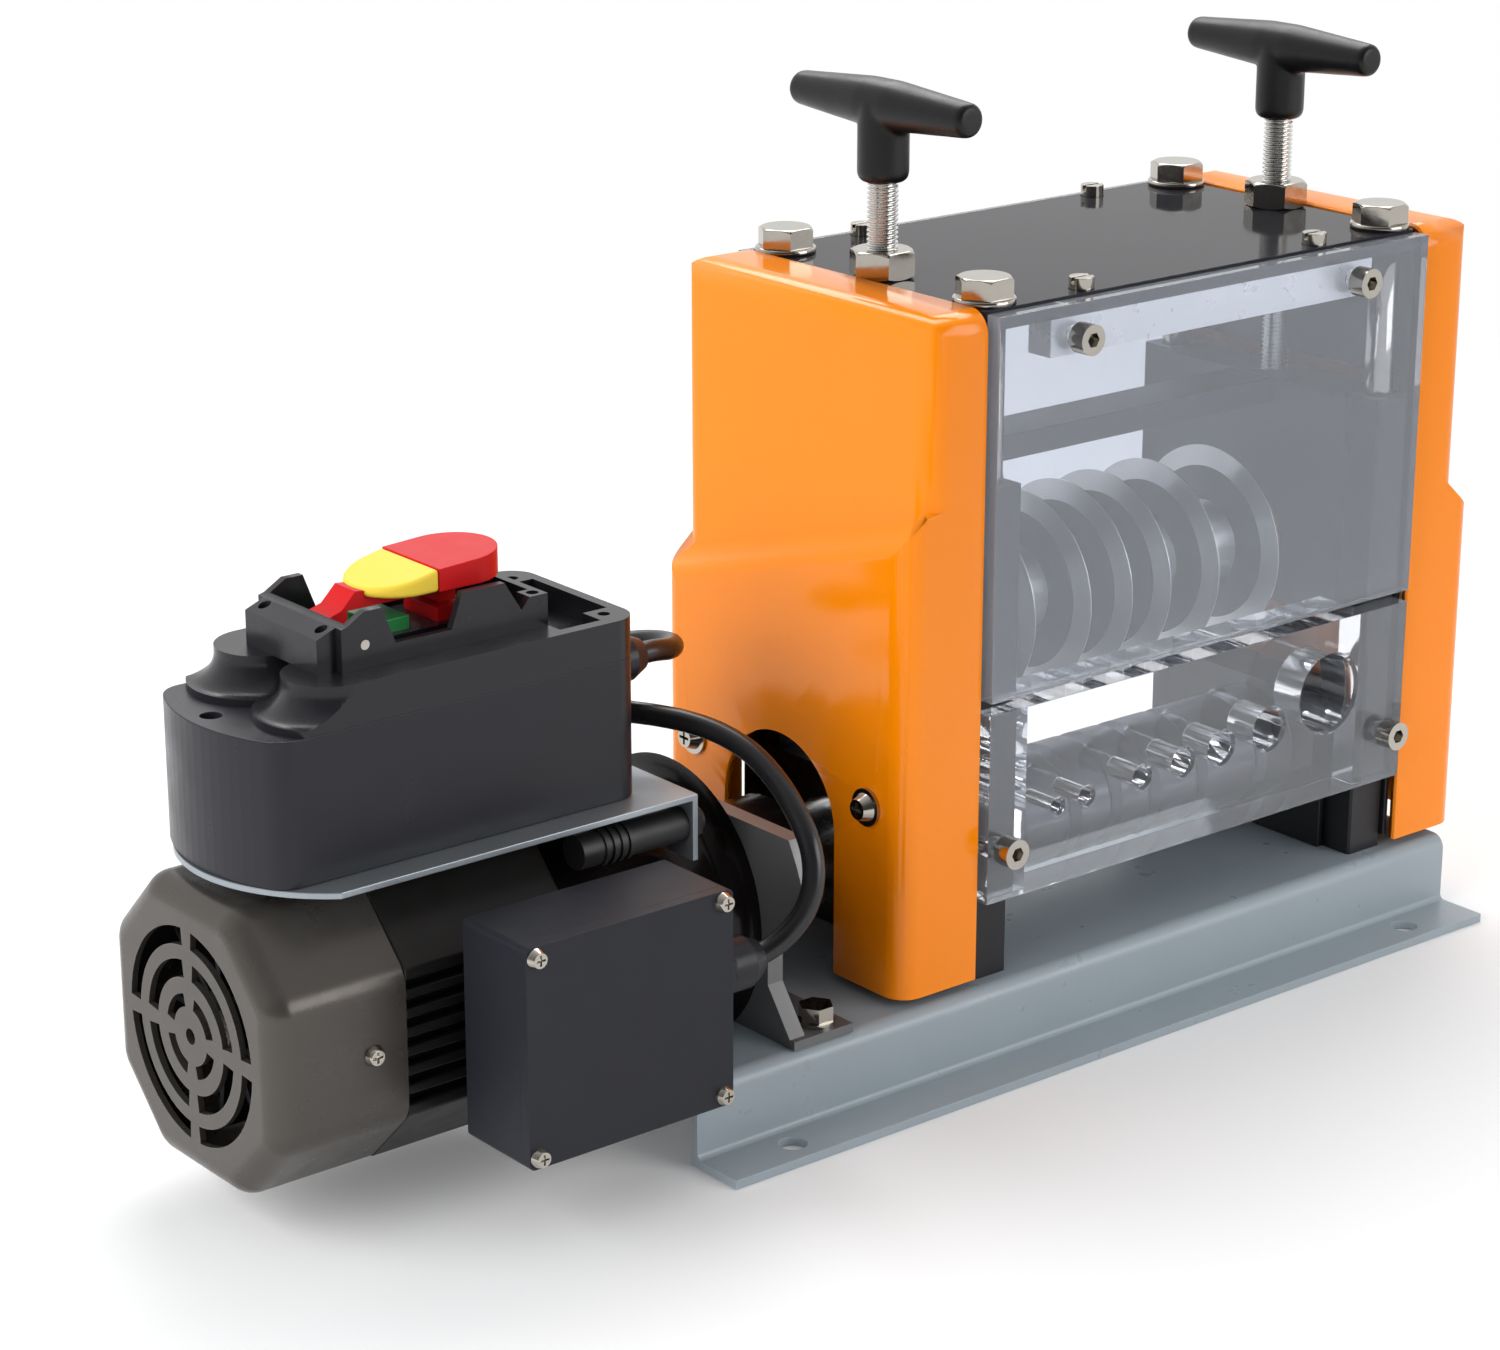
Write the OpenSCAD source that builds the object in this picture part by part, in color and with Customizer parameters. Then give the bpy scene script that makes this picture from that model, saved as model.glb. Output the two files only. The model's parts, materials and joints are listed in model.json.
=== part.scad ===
// Bench machine that strips scrap cable.
// A gear motor turns a grooved feed roller, and round blades on a shaft above it slit the jacket.
// Two T-handle screws set the height of the blade shaft. X runs along the base, Y to the back, Z up.

/* [Base channel] */
// Length of the base channel
base_len = 340; // [320:5:380]
// Width of the channel over its two webs
base_w = 129; // [125:1:140]
// Height of the channel's top face above the bench
base_h = 27; // [24:1:34]
// Thickness of the bent sheet
sheet = 3; // [2:0.5:4]
// Outer radius of the channel's bends
bend_r = 5; // [4.5:0.5:8]
// Width of each foot flange
foot_w = 19; // [16:1:30]
// Diameter of the bolt holes in the feet
foot_hole_d = 9; // [6:0.5:11]
// Distance between the foot holes along the base
foot_hole_dx = 280; // [240:5:300]

/* [Roll stand] */
// Distance of the roll stand's middle from the base's middle
stand_x = 47; // [44:1:52]
// Distance between the corner posts along the base
post_dx = 180; // [176:1:184]
// Distance between the corner posts across the base
post_dy = 96; // [94:1:98]
// Side of the square corner posts
post_w = 16; // [14:1:18]
// Height of the top plate's upper face
plate_top = 249; // [244:1:256]
// Thickness of the top plate
plate_t = 6; // [5:1:9]
// Width of the top plate
plate_w = 115; // [112:1:115]
// Height of the corner posts' upper ends
post_top = 192; // [186:1:198]
// Thickness of the side plates between the posts and the covers
side_t = 2; // [1.5:0.5:4]
// Radius of the bolts that hold the top plate to the posts
plate_bolt_r = 5; // [4:0.5:5]

/* [Feed roller and blades] */
// Height of the feed roller's axis
roll_z = 60; // [58:1:64]
// Radius of the feed roller
roll_r = 20; // [18:0.5:22]
// Radius of both roll shafts
shaft_r = 10; // [8:0.5:11]
// Gap between the feed roller and the blades as set in the photograph
nip = 20.5; // [16:0.5:24]
// Travel of the blade shaft towards the feed roller
blade_down = 18; // [12:0.5:19]
// Radius of the round blades
blade_r = 34; // [30:0.5:35]
// Thickness of the round blades
blade_t = 3; // [2:0.5:4]
// Radius of the spacers between the blades
spacer_r = 15; // [13:0.5:18]
// Thickness of the bearing blocks along the shafts
block_t = 22; // [20:1:24]
// Outer radius of the bearing bushes
bush_r = 14; // [12.5:0.5:15]

/* [Clear guards] */
// Thickness of the clear panels
panel_t = 6; // [4:0.5:8]
// Height of the clear panels
panel_h = 124.5; // [122:0.5:126]
// Thickness of the guide block between the posts
guide_t = 26; // [22:1:26]
// Height of the guide block
guide_h = 64; // [62:1:66]
// Height of the guide block's lower edge
guide_z0 = 55.5; // [54:0.5:57]
// Distance of each guide hole from the stand's middle
guide_x = [-67, -54, -29, -10, 8, 31, 60];
// Diameter of each guide hole
guide_d = [4.5, 5.5, 7, 9, 11, 14, 27];

/* [T-handle screws] */
// Radius of the pressure screws
screw_r = 5; // [4:0.5:6]
// Length of the handle bars
bar_len = 82; // [70:1:110]
// Height of the handle bars' axis
bar_z = 304; // [298:1:320]
// Radius of the handle bar in its middle
bar_r = 8; // [7:0.5:10]
// Radius of the handle bar at its ends
bar_end_r = 5.5; // [4:0.5:7]

/* [Side covers] */
// Width of a cover below its step
cover_w = 32; // [30:0.5:38]
// Depth of the cover's step
cover_step = 9; // [6:0.5:10]
// Depth of a cover from front to back
cover_d = 122; // [120:1:126]
// Height of a cover's lower edge
cover_z0 = 30; // [29:0.5:36]
// Height of a cover's top
cover_z1 = 250; // [246:1:258]
// Height of the step at its low end
step_low = 145; // [135:1:155]
// Height of the step at its high end
step_high = 181; // [172:1:190]
// Wall thickness of the covers
cover_wall = 2.5; // [1.5:0.5:3.5]
// Radius of the covers' outer edges
cover_edge_r = 8; // [4:0.5:9]

/* [Gear motor] */
// Side of the square motor
motor_w = 90; // [86:1:92]
// Chamfer of the motor's corners
motor_c = 23; // [18:1:25]
// Position of the fan cover's outer face
fan_face_x = -307; // [-320:1:-300]
// Length of the fan cover
fan_len = 46; // [40:1:52]
// Wall thickness of the fan cover
fan_wall = 2; // [1.5:0.5:3]
// Position of the seam between the motor and its gear head
gear_x = -200; // [-206:1:-198]
// Radius of the gear head
gear_r = 38; // [36:0.5:39]
// Position of the motor bracket's outer face
bracket_x = -130; // [-132:1:-128]
// Thickness of the motor bracket
bracket_t = 6; // [4:0.5:8]
// Radius of the gear head's nose
nose_r = 24; // [20:0.5:24.5]
// Radius of the gear head's output shaft
output_r = 8; // [6:0.5:9]

/* [Junction box] */
// Length of the junction box
jbox_len = 75; // [70:1:80]
// Depth of the junction box with its lid
jbox_d = 31; // [26:1:34]
// Height of the junction box
jbox_h = 69; // [60:1:72]
// Thickness of the junction box lid
jbox_lid_t = 4; // [3:0.5:6]

/* [Switch box] */
// Height of the gap between the motor and the switch tray
tray_gap = 4; // [2:0.5:8]
// Thickness of the switch tray
tray_t = 2; // [1.5:0.5:3]
// Width of the switch tray
tray_w = 83; // [78:1:90]
// Length of the switch box
sbox_len = 137; // [130:1:142]
// Width of the switch box
sbox_w = 64; // [60:1:68]
// Height of the switch box up to its seam
sbox_h = 44.5; // [38:0.5:50]
// Height of the switch box lid
lid_h = 12.5; // [11:0.5:16]
// Height of the bezel above the lid
bezel_h = 17; // [15:0.5:20]
// Travel of the start button
button_travel = 2.5; // [1.5:0.5:3]

/* [Hidden] */
$fn = 64;
eps = 0.05;
// Radial clearance of a turning or sliding fit, and of a bolt in its hole
run = 0.05;
loose = 0.1;
// Clearance between flat faces that slide
slide_gap = 0.3;

// Colours
orange = [0.98, 0.52, 0.14];
blue_grey = [0.43, 0.49, 0.53];
dark = [0.13, 0.13, 0.14];
steel = [0.75, 0.75, 0.76];
clear = [0.85, 0.9, 0.95, 0.35];

// Base
foot_hole_dy = base_w + foot_w;

// Roll stand
post_xs = [stand_x - post_dx / 2, stand_x + post_dx / 2];
post_ys = [-post_dy / 2, post_dy / 2];
plate_z = plate_top - plate_t;
cover_gap = post_dx + post_w + 2 * side_t;
plate_len = cover_gap - 4;
panel_len = cover_gap - 5;
post_front = post_dy / 2 + post_w / 2;
post_inner_y = post_dy / 2 - post_w / 2;
blade_z = roll_z + roll_r + nip + blade_r;
block_lip = 4;
block_half_y = post_inner_y + block_lip;
block_out = block_t / 2;
lower_block_h = roll_z - base_h + bush_r + 8;
upper_block_z0 = blade_z - bush_r - 8;
upper_block_z1 = blade_z + 57.5;
pocket_h = 8;
tie_h = 8.5;
tie_w = 20;
bush_flange_r = bush_r + 3;
bush_flange_t = 2;
collar_r = 15;
collar_w = 10;
roll_x0 = post_xs[0] + block_out + bush_flange_t + slide_gap;
roll_x1 = post_xs[1] - block_out - bush_flange_t - slide_gap;
shaft_x0 = post_xs[0] - block_out - collar_w - 6;
shaft_x1 = post_xs[1] + block_out + collar_w + 6;

// Clear guards
bar_d = 10;
bar_h = 12;
panel_bar_len = 146;
stud_r = 4;
stud_out = 4;
stud_dx = 106;
stud_y = plate_w / 2 - bar_d / 2;
bar_front = stud_y + bar_d / 2;
panel_z1 = plate_top - 1;
panel_z0 = panel_z1 - panel_h;
panel_screw_dx = 127;
panel_screw_z = plate_z - bar_h / 2;
m6_r = 3;
m6_head_r = 5;
m6_head_h = 6;
guide_front = post_front + 7;
guide_half = post_dx / 2 - block_out - 1;
guide_screw_z = 73;
guide_low_z = roll_z + roll_r;

// Fasteners
washer_t = 2;
washer_r = plate_bolt_r * 2;
nut_h = 9;
m4_r = 1.8;
bolt_grip = 24;
bolt_hole = bolt_grip + 2;

// Covers
cover_in = cover_gap / 2;
cover_screw_y = post_inner_y + 4;
cover_screw_z = 92;
standoff_r = m6_r * 1.7;
slot_r = 28;
slot_z = roll_z + 17;
bevel_h = 8;
step_r = 9;

// Gear motor
motor_z = roll_z;
fan_x1 = fan_face_x + fan_len;
rotor_r = 6;
fan_r = 35;
nose_x = -90;
output_x0 = -112;
output_x1 = -72;
coupling_x0 = -87;
coupling_x1 = post_xs[0] - block_out - 2;
coupling_r = 17;
bracket_foot = 18;
bracket_foot_t = 3;
bracket_half = 62.5;
bracket_waist = 49.5;
bracket_bolt_y = 55;

// Junction box
jbox_x1 = -base_len / 2 - 1.5;
jbox_x0 = jbox_x1 - jbox_len;
jbox_stem = 8;
jbox_y1 = -motor_w / 2 - jbox_stem;
jbox_y0 = jbox_y1 - jbox_d;
jbox_z0 = motor_z - 30.5;
gland_r = 9.5;
gland_len = 21;
jbox_gland_y = jbox_y1 - jbox_d / 2;
jbox_gland_z = motor_z + 6;
jscrew_inset = 3.6;
jscrew_r = 3.3;

// Switch box
tray_z0 = motor_z + motor_w / 2 + tray_gap;
tray_z1 = tray_z0 + tray_t;
sbox_x1 = -164;
sbox_x0 = sbox_x1 - sbox_len;
sbox_z1 = tray_z1 + sbox_h;
lid_z1 = sbox_z1 + lid_h;
sbox_y = 0.5;
end_r = 60;
tray_x1 = sbox_x1 + 13;
flange_h = 19.5;
flange_y0 = -tray_w / 2;
flange_y1 = flange_y0 + 13.5;
fuse_y = flange_y0 + 6.8;
fuse_z = tray_z0 - 9;
fuse_r = 5.5;
fuse_len = 40;
bezel_x0 = sbox_x1 - 100;
bezel_x1 = bezel_x0 + 72.5;
bezel_half = 22;
bezel_wall = 2.5;
ear_len = 6.5;
ear_half = 19;
head_r = 15;
head_h = 7;
head_x0 = bezel_x0 + 18;
head_x1 = head_x0 + 49;
head_z0 = lid_z1 + 15;
head_split = head_x0 + 21;
head_slope = 12;
head_tip_slope = 3;
hinge_x = bezel_x0 + 8;
hinge_z = lid_z1 + 7;
pin_r = 1.5;
block_top = lid_z1 + button_travel + 1.5;
start_x = hinge_x + 18;
stop_x = hinge_x + 40;
button_half = 6;
button_w = 18;
button_rise = 4;
sgland_z = sbox_z1 - 11.5;
sgland_y = -2;
mains_gland_y = 22;

// Motor lead, in one turn down from the switch box and then in a bow to the junction box
lead_r = 3.5;
lead_from = [sbox_x1 + gland_len * 0.65, sgland_y, sgland_z];
lead_to = [jbox_x1 + gland_len * 0.55, jbox_gland_y, jbox_gland_z];
curl_r = 18;
curl_drop = 15;
curl_mid = lead_from + [12, curl_r, 0];
lead_curl = [for (a = [-90 : 30 : 180])
    curl_mid + [curl_r * cos(a), curl_r * sin(a), -curl_drop * (a + 90) / 270]];
// Way over the gear head, counted from the switch box gland
lead_over = [[-4, 8.5, -16.2], [1, -1, -17], [7, -9.5, -17.5], [12.5, -18.5, -18.5], [17, -28.5, -20.5],
             [19.8, -39, -24], [21, -49, -29.5], [21, -58, -36]];
// Way down, counted from the junction box gland
lead_down = [[30, -0.5, 32.5], [28.5, -4.5, 22], [24.5, -5, 12.5], [18, -3, 5], [10, -0.4, 0.6]];
lead_route = concat([lead_from], lead_curl, [for (q = lead_over) lead_from + q],
                    [for (q = lead_down) lead_to + q], [lead_to]);

// Stretch of a profile in Y and Z along X
module along_x(x0, x1) {
    translate([x0, 0, 0])
        rotate([90, 0, 90])
            linear_extrude(x1 - x0)
                children();
}

// Stretch of a profile in X and Z along Y
module along_y(y0, y1) {
    translate([0, y1, 0])
        rotate([90, 0, 0])
            linear_extrude(y1 - y0)
                children();
}

module rod_x(x0, x1, r) {
    translate([x0, 0, 0])
        rotate([0, 90, 0])
            cylinder(h = x1 - x0, r = r);
}

module rod_y(y0, y1, r) {
    translate([0, y0, 0])
        rotate([-90, 0, 0])
            cylinder(h = y1 - y0, r = r);
}

module tube_x(x0, x1, r_out, r_in) {
    difference() {
        rod_x(x0, x1, r_out);
        rod_x(x0 - 1, x1 + 1, r_in);
    }
}

// Box between two corners
module block(low, high) {
    translate(low)
        cube(high - low);
}

// Rectangle standing on the X axis with round upper corners
module round_top(w, h, r) {
    translate([-w / 2, 0])
        square([w, h - r]);
    translate([-w / 2 + r, 0])
        square([w - 2 * r, h]);
    for (s = [-1, 1])
        translate([s * (w / 2 - r), h - r])
            circle(r);
}

// Upright rectangle with two bevelled top corners
module bevel_top(w, h, c) {
    polygon([[-w / 2, 0], [w / 2, 0], [w / 2, h - c],
             [w / 2 - c, h], [c - w / 2, h], [-w / 2, h - c]]);
}

// Centred rectangle with round corners
module round_rect(w, h, r) {
    square([w - 2 * r, h], center = true);
    square([w, h - 2 * r], center = true);
    for (sx = [-1, 1], sy = [-1, 1])
        translate([sx * (w / 2 - r), sy * (h / 2 - r)])
            circle(r);
}

// Square with chamfered corners
module chamfered_square(w, c) {
    h = w / 2;
    k = h - c;
    polygon([[h, -k], [h, k], [k, h], [-k, h], [-h, k], [-h, -k], [-k, -h], [k, -h]]);
}

module at_posts() {
    for (x = post_xs, y = post_ys)
        translate([x, y, 0])
            children();
}

// Hexagon bolt whose head stands on z = 0
module hex_bolt(across, head_h, r, length) {
    cylinder(h = head_h, d = across / cos(30), $fn = 6);
    translate([0, 0, -length])
        cylinder(h = length + eps, r = r);
}

// Socket head screw whose head stands on z = 0
module cap_screw(head_r, head_h, r, length) {
    difference() {
        cylinder(h = head_h, r = head_r);
        translate([0, 0, head_h / 2])
            cylinder(h = head_h, r = head_r * 0.5, $fn = 6);
    }
    translate([0, 0, -length])
        cylinder(h = length + eps, r = r);
}

// Low round head with a cross slot, standing on z = 0
module pan_screw(head_r, r, length) {
    head_h = head_r * 0.7;
    difference() {
        cylinder(h = head_h, r1 = head_r, r2 = head_r * 0.7);
        for (a = [0, 90])
            rotate(a)
                translate([-head_r * 0.5, -head_r * 0.1, head_h * 0.5])
                    cube([head_r, head_r * 0.2, head_h]);
    }
    translate([0, 0, -length])
        cylinder(h = length + eps, r = r);
}

// Base and roll stand

module hat_profile() {
    difference() {
        round_top(base_w, base_h, bend_r);
        translate([0, -eps])
            round_top(base_w - 2 * sheet, base_h - sheet + eps, bend_r - sheet);
    }
    for (s = [0, 1])
        mirror([s, 0])
            translate([base_w / 2 - sheet / 2, 0]) {
                square([foot_w + sheet / 2, sheet]);
                translate([sheet / 2 - eps, sheet - eps])
                    difference() {
                        square(bend_r - sheet + eps);
                        translate([bend_r - sheet + eps, bend_r - sheet + eps])
                            circle(bend_r - sheet);
                    }
            }
}

module base_channel() {
    color(blue_grey)
        difference() {
            along_x(-base_len / 2, base_len / 2)
                hat_profile();
            for (x = [-foot_hole_dx / 2, foot_hole_dx / 2], y = [-foot_hole_dy / 2, foot_hole_dy / 2])
                translate([x, y, -1])
                    cylinder(h = sheet + 2, d = foot_hole_d);
            for (y = [-bracket_bolt_y, bracket_bolt_y])
                translate([bracket_x + bracket_t + bracket_foot / 2, y, base_h - sheet - 1])
                    cylinder(h = sheet + 2, r = m6_r + loose);
        }
}

module corner_posts() {
    edge = 0.8;
    color(dark)
        at_posts()
            difference() {
                translate([0, 0, base_h])
                    linear_extrude(post_top - base_h)
                        chamfered_square(post_w, edge);
                translate([0, 0, post_top - bolt_hole])
                    cylinder(h = bolt_hole + 1, r = plate_bolt_r + loose);
                translate([0, 0, guide_screw_z])
                    rod_y(-post_w, post_w, m6_r + loose);
            }
}

module top_plate() {
    color([0.24, 0.24, 0.26])
        difference() {
            translate([stand_x, 0, plate_z])
                linear_extrude(plate_t)
                    round_rect(plate_len, plate_w, 3);
            at_posts()
                translate([0, 0, plate_z - 1])
                    cylinder(h = plate_t + 2, r = plate_bolt_r + loose);
            for (x = post_xs)
                translate([x, 0, plate_z - 1])
                    cylinder(h = plate_t + 2, r = screw_r + run);
            at_studs()
                translate([0, 0, plate_z - 1])
                    cylinder(h = plate_t + 2, r = stud_r + loose);
        }
}

// Long bolts with washers that carry the top plate above the posts
module plate_bolts() {
    color(steel)
        at_posts()
            translate([0, 0, plate_top]) {
                cylinder(h = washer_t, r = washer_r);
                translate([0, 0, washer_t - eps])
                    hex_bolt(plate_bolt_r * 3.3, plate_bolt_r * 1.3, plate_bolt_r,
                             plate_top - post_top + bolt_grip);
            }
}

// Plates that close the covers above the bearing blocks
module side_plates() {
    open_half = post_dy / 2 + 2;
    color([0.18, 0.18, 0.19])
        for (s = [0, 1])
            translate([stand_x, 0, 0])
                mirror([s, 0, 0])
                    difference() {
                        block([cover_in - side_t, -plate_w / 2, cover_z0 + 1],
                              [cover_in, plate_w / 2, plate_z]);
                        block([cover_in - side_t - 1, -open_half, cover_z0],
                              [cover_in + 1, open_half, post_top + 5]);
                    }
}

module at_studs() {
    for (x = [-stud_dx / 2, stud_dx / 2], y = [-stud_y, stud_y])
        translate([stand_x + x, y, 0])
            children();
}

module panel_bars() {
    color([0.8, 0.8, 0.82])
        for (s = [-1, 1])
            difference() {
                block([stand_x - panel_bar_len / 2, s * stud_y - bar_d / 2, plate_z - bar_h],
                      [stand_x + panel_bar_len / 2, s * stud_y + bar_d / 2, plate_z]);
                for (x = [-stud_dx / 2, stud_dx / 2])
                    translate([stand_x + x, s * stud_y, plate_z - bar_h - 1])
                        cylinder(h = bar_h + 2, r = stud_r + loose);
                for (x = [-panel_screw_dx / 2, panel_screw_dx / 2])
                    translate([stand_x + x, 0, panel_screw_z])
                        rod_y(s * stud_y - bar_d, s * stud_y + bar_d, m6_r + loose);
            }
}

module bar_studs() {
    slot = 1.4;
    color(steel)
        at_studs()
            difference() {
                translate([0, 0, plate_z - bar_h])
                    cylinder(h = bar_h + plate_t + stud_out, r = stud_r);
                translate([-stud_r - 1, -slot / 2, plate_top + stud_out - 2])
                    cube([2 * stud_r + 2, slot, 3]);
            }
}

// Clear guards

module clear_panel() {
    difference() {
        block([stand_x - panel_len / 2, -bar_front - panel_t, panel_z0],
              [stand_x + panel_len / 2, -bar_front, panel_z1]);
        for (x = [-panel_screw_dx / 2, panel_screw_dx / 2])
            translate([stand_x + x, 0, panel_screw_z])
                rod_y(-bar_front - panel_t - 1, -bar_front + 1, m6_r + loose);
    }
}

module front_panel() {
    color(clear)
        clear_panel();
}

module rear_panel() {
    color(clear)
        mirror([0, 1, 0])
            clear_panel();
}

module panel_screws() {
    color(steel)
        for (s = [0, 1], x = [-panel_screw_dx / 2, panel_screw_dx / 2])
            mirror([0, s, 0])
                translate([stand_x + x, -bar_front - panel_t, panel_screw_z])
                    rotate([90, 0, 0])
                        cap_screw(m6_head_r, m6_head_h, m6_r, panel_t + bar_d - 1);
}

// Holes of rising size stand on one line, so that every cable lies on the feed roller
module guide_block() {
    mouth = 1.2;
    color(clear)
        difference() {
            union() {
                block([stand_x - panel_len / 2, -guide_front, guide_z0],
                      [stand_x + panel_len / 2, -post_front, guide_z0 + guide_h]);
                block([stand_x - guide_half, -guide_front + eps, guide_z0],
                      [stand_x + guide_half, -guide_front + guide_t, guide_z0 + guide_h]);
            }
            for (i = [0 : len(guide_x) - 1])
                translate([stand_x + guide_x[i], 0, guide_low_z + guide_d[i] / 2]) {
                    rod_y(-guide_front - 1, -guide_front + guide_t + 1, guide_d[i] / 2);
                    translate([0, -guide_front - eps, 0])
                        rotate([-90, 0, 0])
                            cylinder(h = mouth, r1 = guide_d[i] / 2 + mouth, r2 = guide_d[i] / 2 - eps);
                }
            for (x = post_xs)
                translate([x, 0, guide_screw_z])
                    rod_y(-guide_front - 1, -post_front + 1, m6_r + loose);
        }
}

module guide_screws() {
    color(steel)
        for (x = post_xs)
            translate([x, -guide_front, guide_screw_z])
                rotate([90, 0, 0])
                    cap_screw(m6_head_r, m6_head_h, m6_r, guide_front - post_front + post_w - 2);
}

// Side covers

// Half space below a plane through a point
module half_space(point, normal) {
    reach = 400;
    unit = normal / norm(normal);
    translate(point)
        rotate([0, acos(unit[2]), atan2(unit[1], unit[0])])
            translate([-reach / 2, -reach / 2, -reach])
                cube(reach);
}

// All that lies under the slanted bevel of the step and its rounded lower edge, moved in by inset
module under_step(inset) {
    slope_y = (step_high - step_low) / cover_d;
    normal = [bevel_h / cover_step, -slope_y, 1];
    bevel = normal / norm(normal);
    outward = [1, 0, 0];
    edge = [cover_w, -cover_d / 2, step_low];
    middle = edge - step_r * (bevel + outward) / (1 + bevel * outward);
    intersection_for (k = [0.25 : 0.25 : 1]) {
        facing = k * bevel + (1 - k) * outward;
        half_space(middle + (step_r - inset) * facing / norm(facing), facing);
    }
}

// Hood outline as seen from above, open side at x = 0
module cover_plan(w, d, r, open) {
    translate([-open, -d / 2])
        square([w - r + open, d]);
    translate([-open, -d / 2 + r])
        square([w + open, d - 2 * r]);
    for (s = [-1, 1])
        translate([w - r, s * (d / 2 - r)])
            circle(r);
}

// Solid of the hood, smaller by inset on its closed sides and longer by open on its open ones
module cover_form(inset, open) {
    d = cover_d - 2 * inset;
    r = cover_edge_r - inset;
    top = cover_z1 - inset;
    w_up = cover_w - cover_step - inset;
    w_low = cover_w - inset;
    z0 = cover_z0 - open;
    intersection() {
        translate([0, 0, z0])
            linear_extrude(top - z0)
                cover_plan(w_up, d, r, open);
        along_x(-open, w_up)
            translate([0, z0])
                round_top(d, top - z0, r);
        along_y(-d / 2, d / 2)
            translate([0, z0])
                round_top(2 * w_up, top - z0, r);
    }
    intersection() {
        translate([0, 0, z0])
            linear_extrude(step_high + bevel_h - z0)
                cover_plan(w_low, d, r, open);
        under_step(inset);
    }
}

module cover() {
    difference() {
        cover_form(0, 0);
        cover_form(cover_wall, 5);
        for (s = [-1, 1])
            translate([0, s * cover_screw_y, cover_screw_z])
                rod_x(0, cover_w + 1, m6_r + loose);
    }
}

module at_left_cover() {
    translate([stand_x - cover_in, 0, 0])
        rotate(180)
            children();
}

module at_right_cover() {
    translate([stand_x + cover_in, 0, 0])
        children();
}

// The gear head's nose reaches through an arched slot in the left cover
module left_cover() {
    color(orange)
        difference() {
            at_left_cover()
                cover();
            translate([0, 0, slot_z])
                rod_x(stand_x - cover_in - cover_w - 1, stand_x - cover_in - cover_w + cover_step, slot_r);
            block([stand_x - cover_in - cover_w - 1, -slot_r, cover_z0 - 1],
                  [stand_x - cover_in - cover_w + cover_step, slot_r, slot_z]);
        }
}

module right_cover() {
    color(orange)
        at_right_cover()
            cover();
}

module at_cover_screws() {
    for (s = [-1, 1]) {
        at_left_cover()
            translate([0, s * cover_screw_y, cover_screw_z])
                children();
        at_right_cover()
            translate([0, s * cover_screw_y, cover_screw_z])
                children();
    }
}

// Hexagon spacers from the posts to the covers' outer walls
module cover_standoffs() {
    x0 = -side_t;
    color(steel)
        at_cover_screws()
            difference() {
                translate([x0, 0, 0])
                    rotate([0, 90, 0])
                        cylinder(h = cover_w - cover_wall - x0, r = standoff_r, $fn = 6);
                rod_x(cover_w - 16, cover_w, m6_r + loose);
            }
}

module cover_screws() {
    color(steel)
        at_cover_screws()
            translate([cover_w, 0, 0])
                rotate([0, 90, 0]) {
                    cylinder(h = 1.2, r = m6_head_r * 1.25);
                    translate([0, 0, 1.2 - eps])
                        pan_screw(m6_head_r * 0.95, m6_r, 12);
                }
}

// Feed roller, blades and their bearings

// Bearing block whose grooves run on the inner edges of two posts
module bearing_block(x, z0, z1, axis_z) {
    groove = post_w + 2 * slide_gap;
    difference() {
        block([x - block_out, -block_half_y, z0], [x + block_out, block_half_y, z1]);
        for (s = [-1, 1])
            translate([x - groove / 2, s * block_half_y - block_lip - slide_gap, z0 - 1])
                cube([groove, 2 * (block_lip + slide_gap), z1 - z0 + 2]);
        translate([0, 0, axis_z])
            rod_x(x - block_out - 1, x + block_out + 1, bush_r + run);
    }
}

// Flanged bush; side is 1 where the stand's middle lies towards +X
module bush(x, axis_z, side) {
    translate([x, 0, axis_z])
        rotate([0, side * 90, 0])
            difference() {
                union() {
                    translate([0, 0, -block_out])
                        cylinder(h = block_t, r = bush_r);
                    translate([0, 0, block_out])
                        cylinder(h = bush_flange_t, r = bush_flange_r);
                }
                translate([0, 0, -block_t])
                    cylinder(h = 2 * block_t, r = shaft_r + run);
            }
}

module lower_bearing_blocks() {
    color([0.2, 0.2, 0.21])
        for (x = post_xs)
            bearing_block(x, base_h, base_h + lower_block_h, roll_z);
}

module lower_bushes() {
    color([0.72, 0.55, 0.3]) {
        bush(post_xs[0], roll_z, 1);
        bush(post_xs[1], roll_z, -1);
    }
}

// Sliding blocks, relieved where they come down beside the covers' standoffs
module upper_bearing_blocks() {
    relief_x = 2 * (block_out - post_w / 2) + slide_gap;
    relief_y = 2 * (block_half_y - cover_screw_y + standoff_r + slide_gap);
    relief_z = 2 * (cover_screw_z + standoff_r + slide_gap - upper_block_z0 + blade_down);
    color([0.2, 0.2, 0.21])
        for (x = post_xs, out = x < stand_x ? -1 : 1)
            difference() {
                bearing_block(x, upper_block_z0, upper_block_z1, blade_z);
                translate([x, 0, upper_block_z1 - pocket_h])
                    cylinder(h = pocket_h + 1, r = screw_r + run);
                for (y = [-block_half_y, block_half_y])
                    translate([x + out * block_out, y, upper_block_z0])
                        cube([relief_x, relief_y, relief_z], center = true);
            }
}

module upper_bushes() {
    color([0.72, 0.55, 0.3]) {
        bush(post_xs[0], blade_z, 1);
        bush(post_xs[1], blade_z, -1);
    }
}

module tie_bar() {
    color([0.2, 0.2, 0.21])
        block([post_xs[0] + block_out, -tie_w / 2, upper_block_z1 - tie_h],
              [post_xs[1] - block_out, tie_w / 2, upper_block_z1]);
}

module upper_shaft() {
    color(steel)
        translate([0, 0, blade_z])
            rod_x(shaft_x0, shaft_x1, shaft_r);
}

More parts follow.
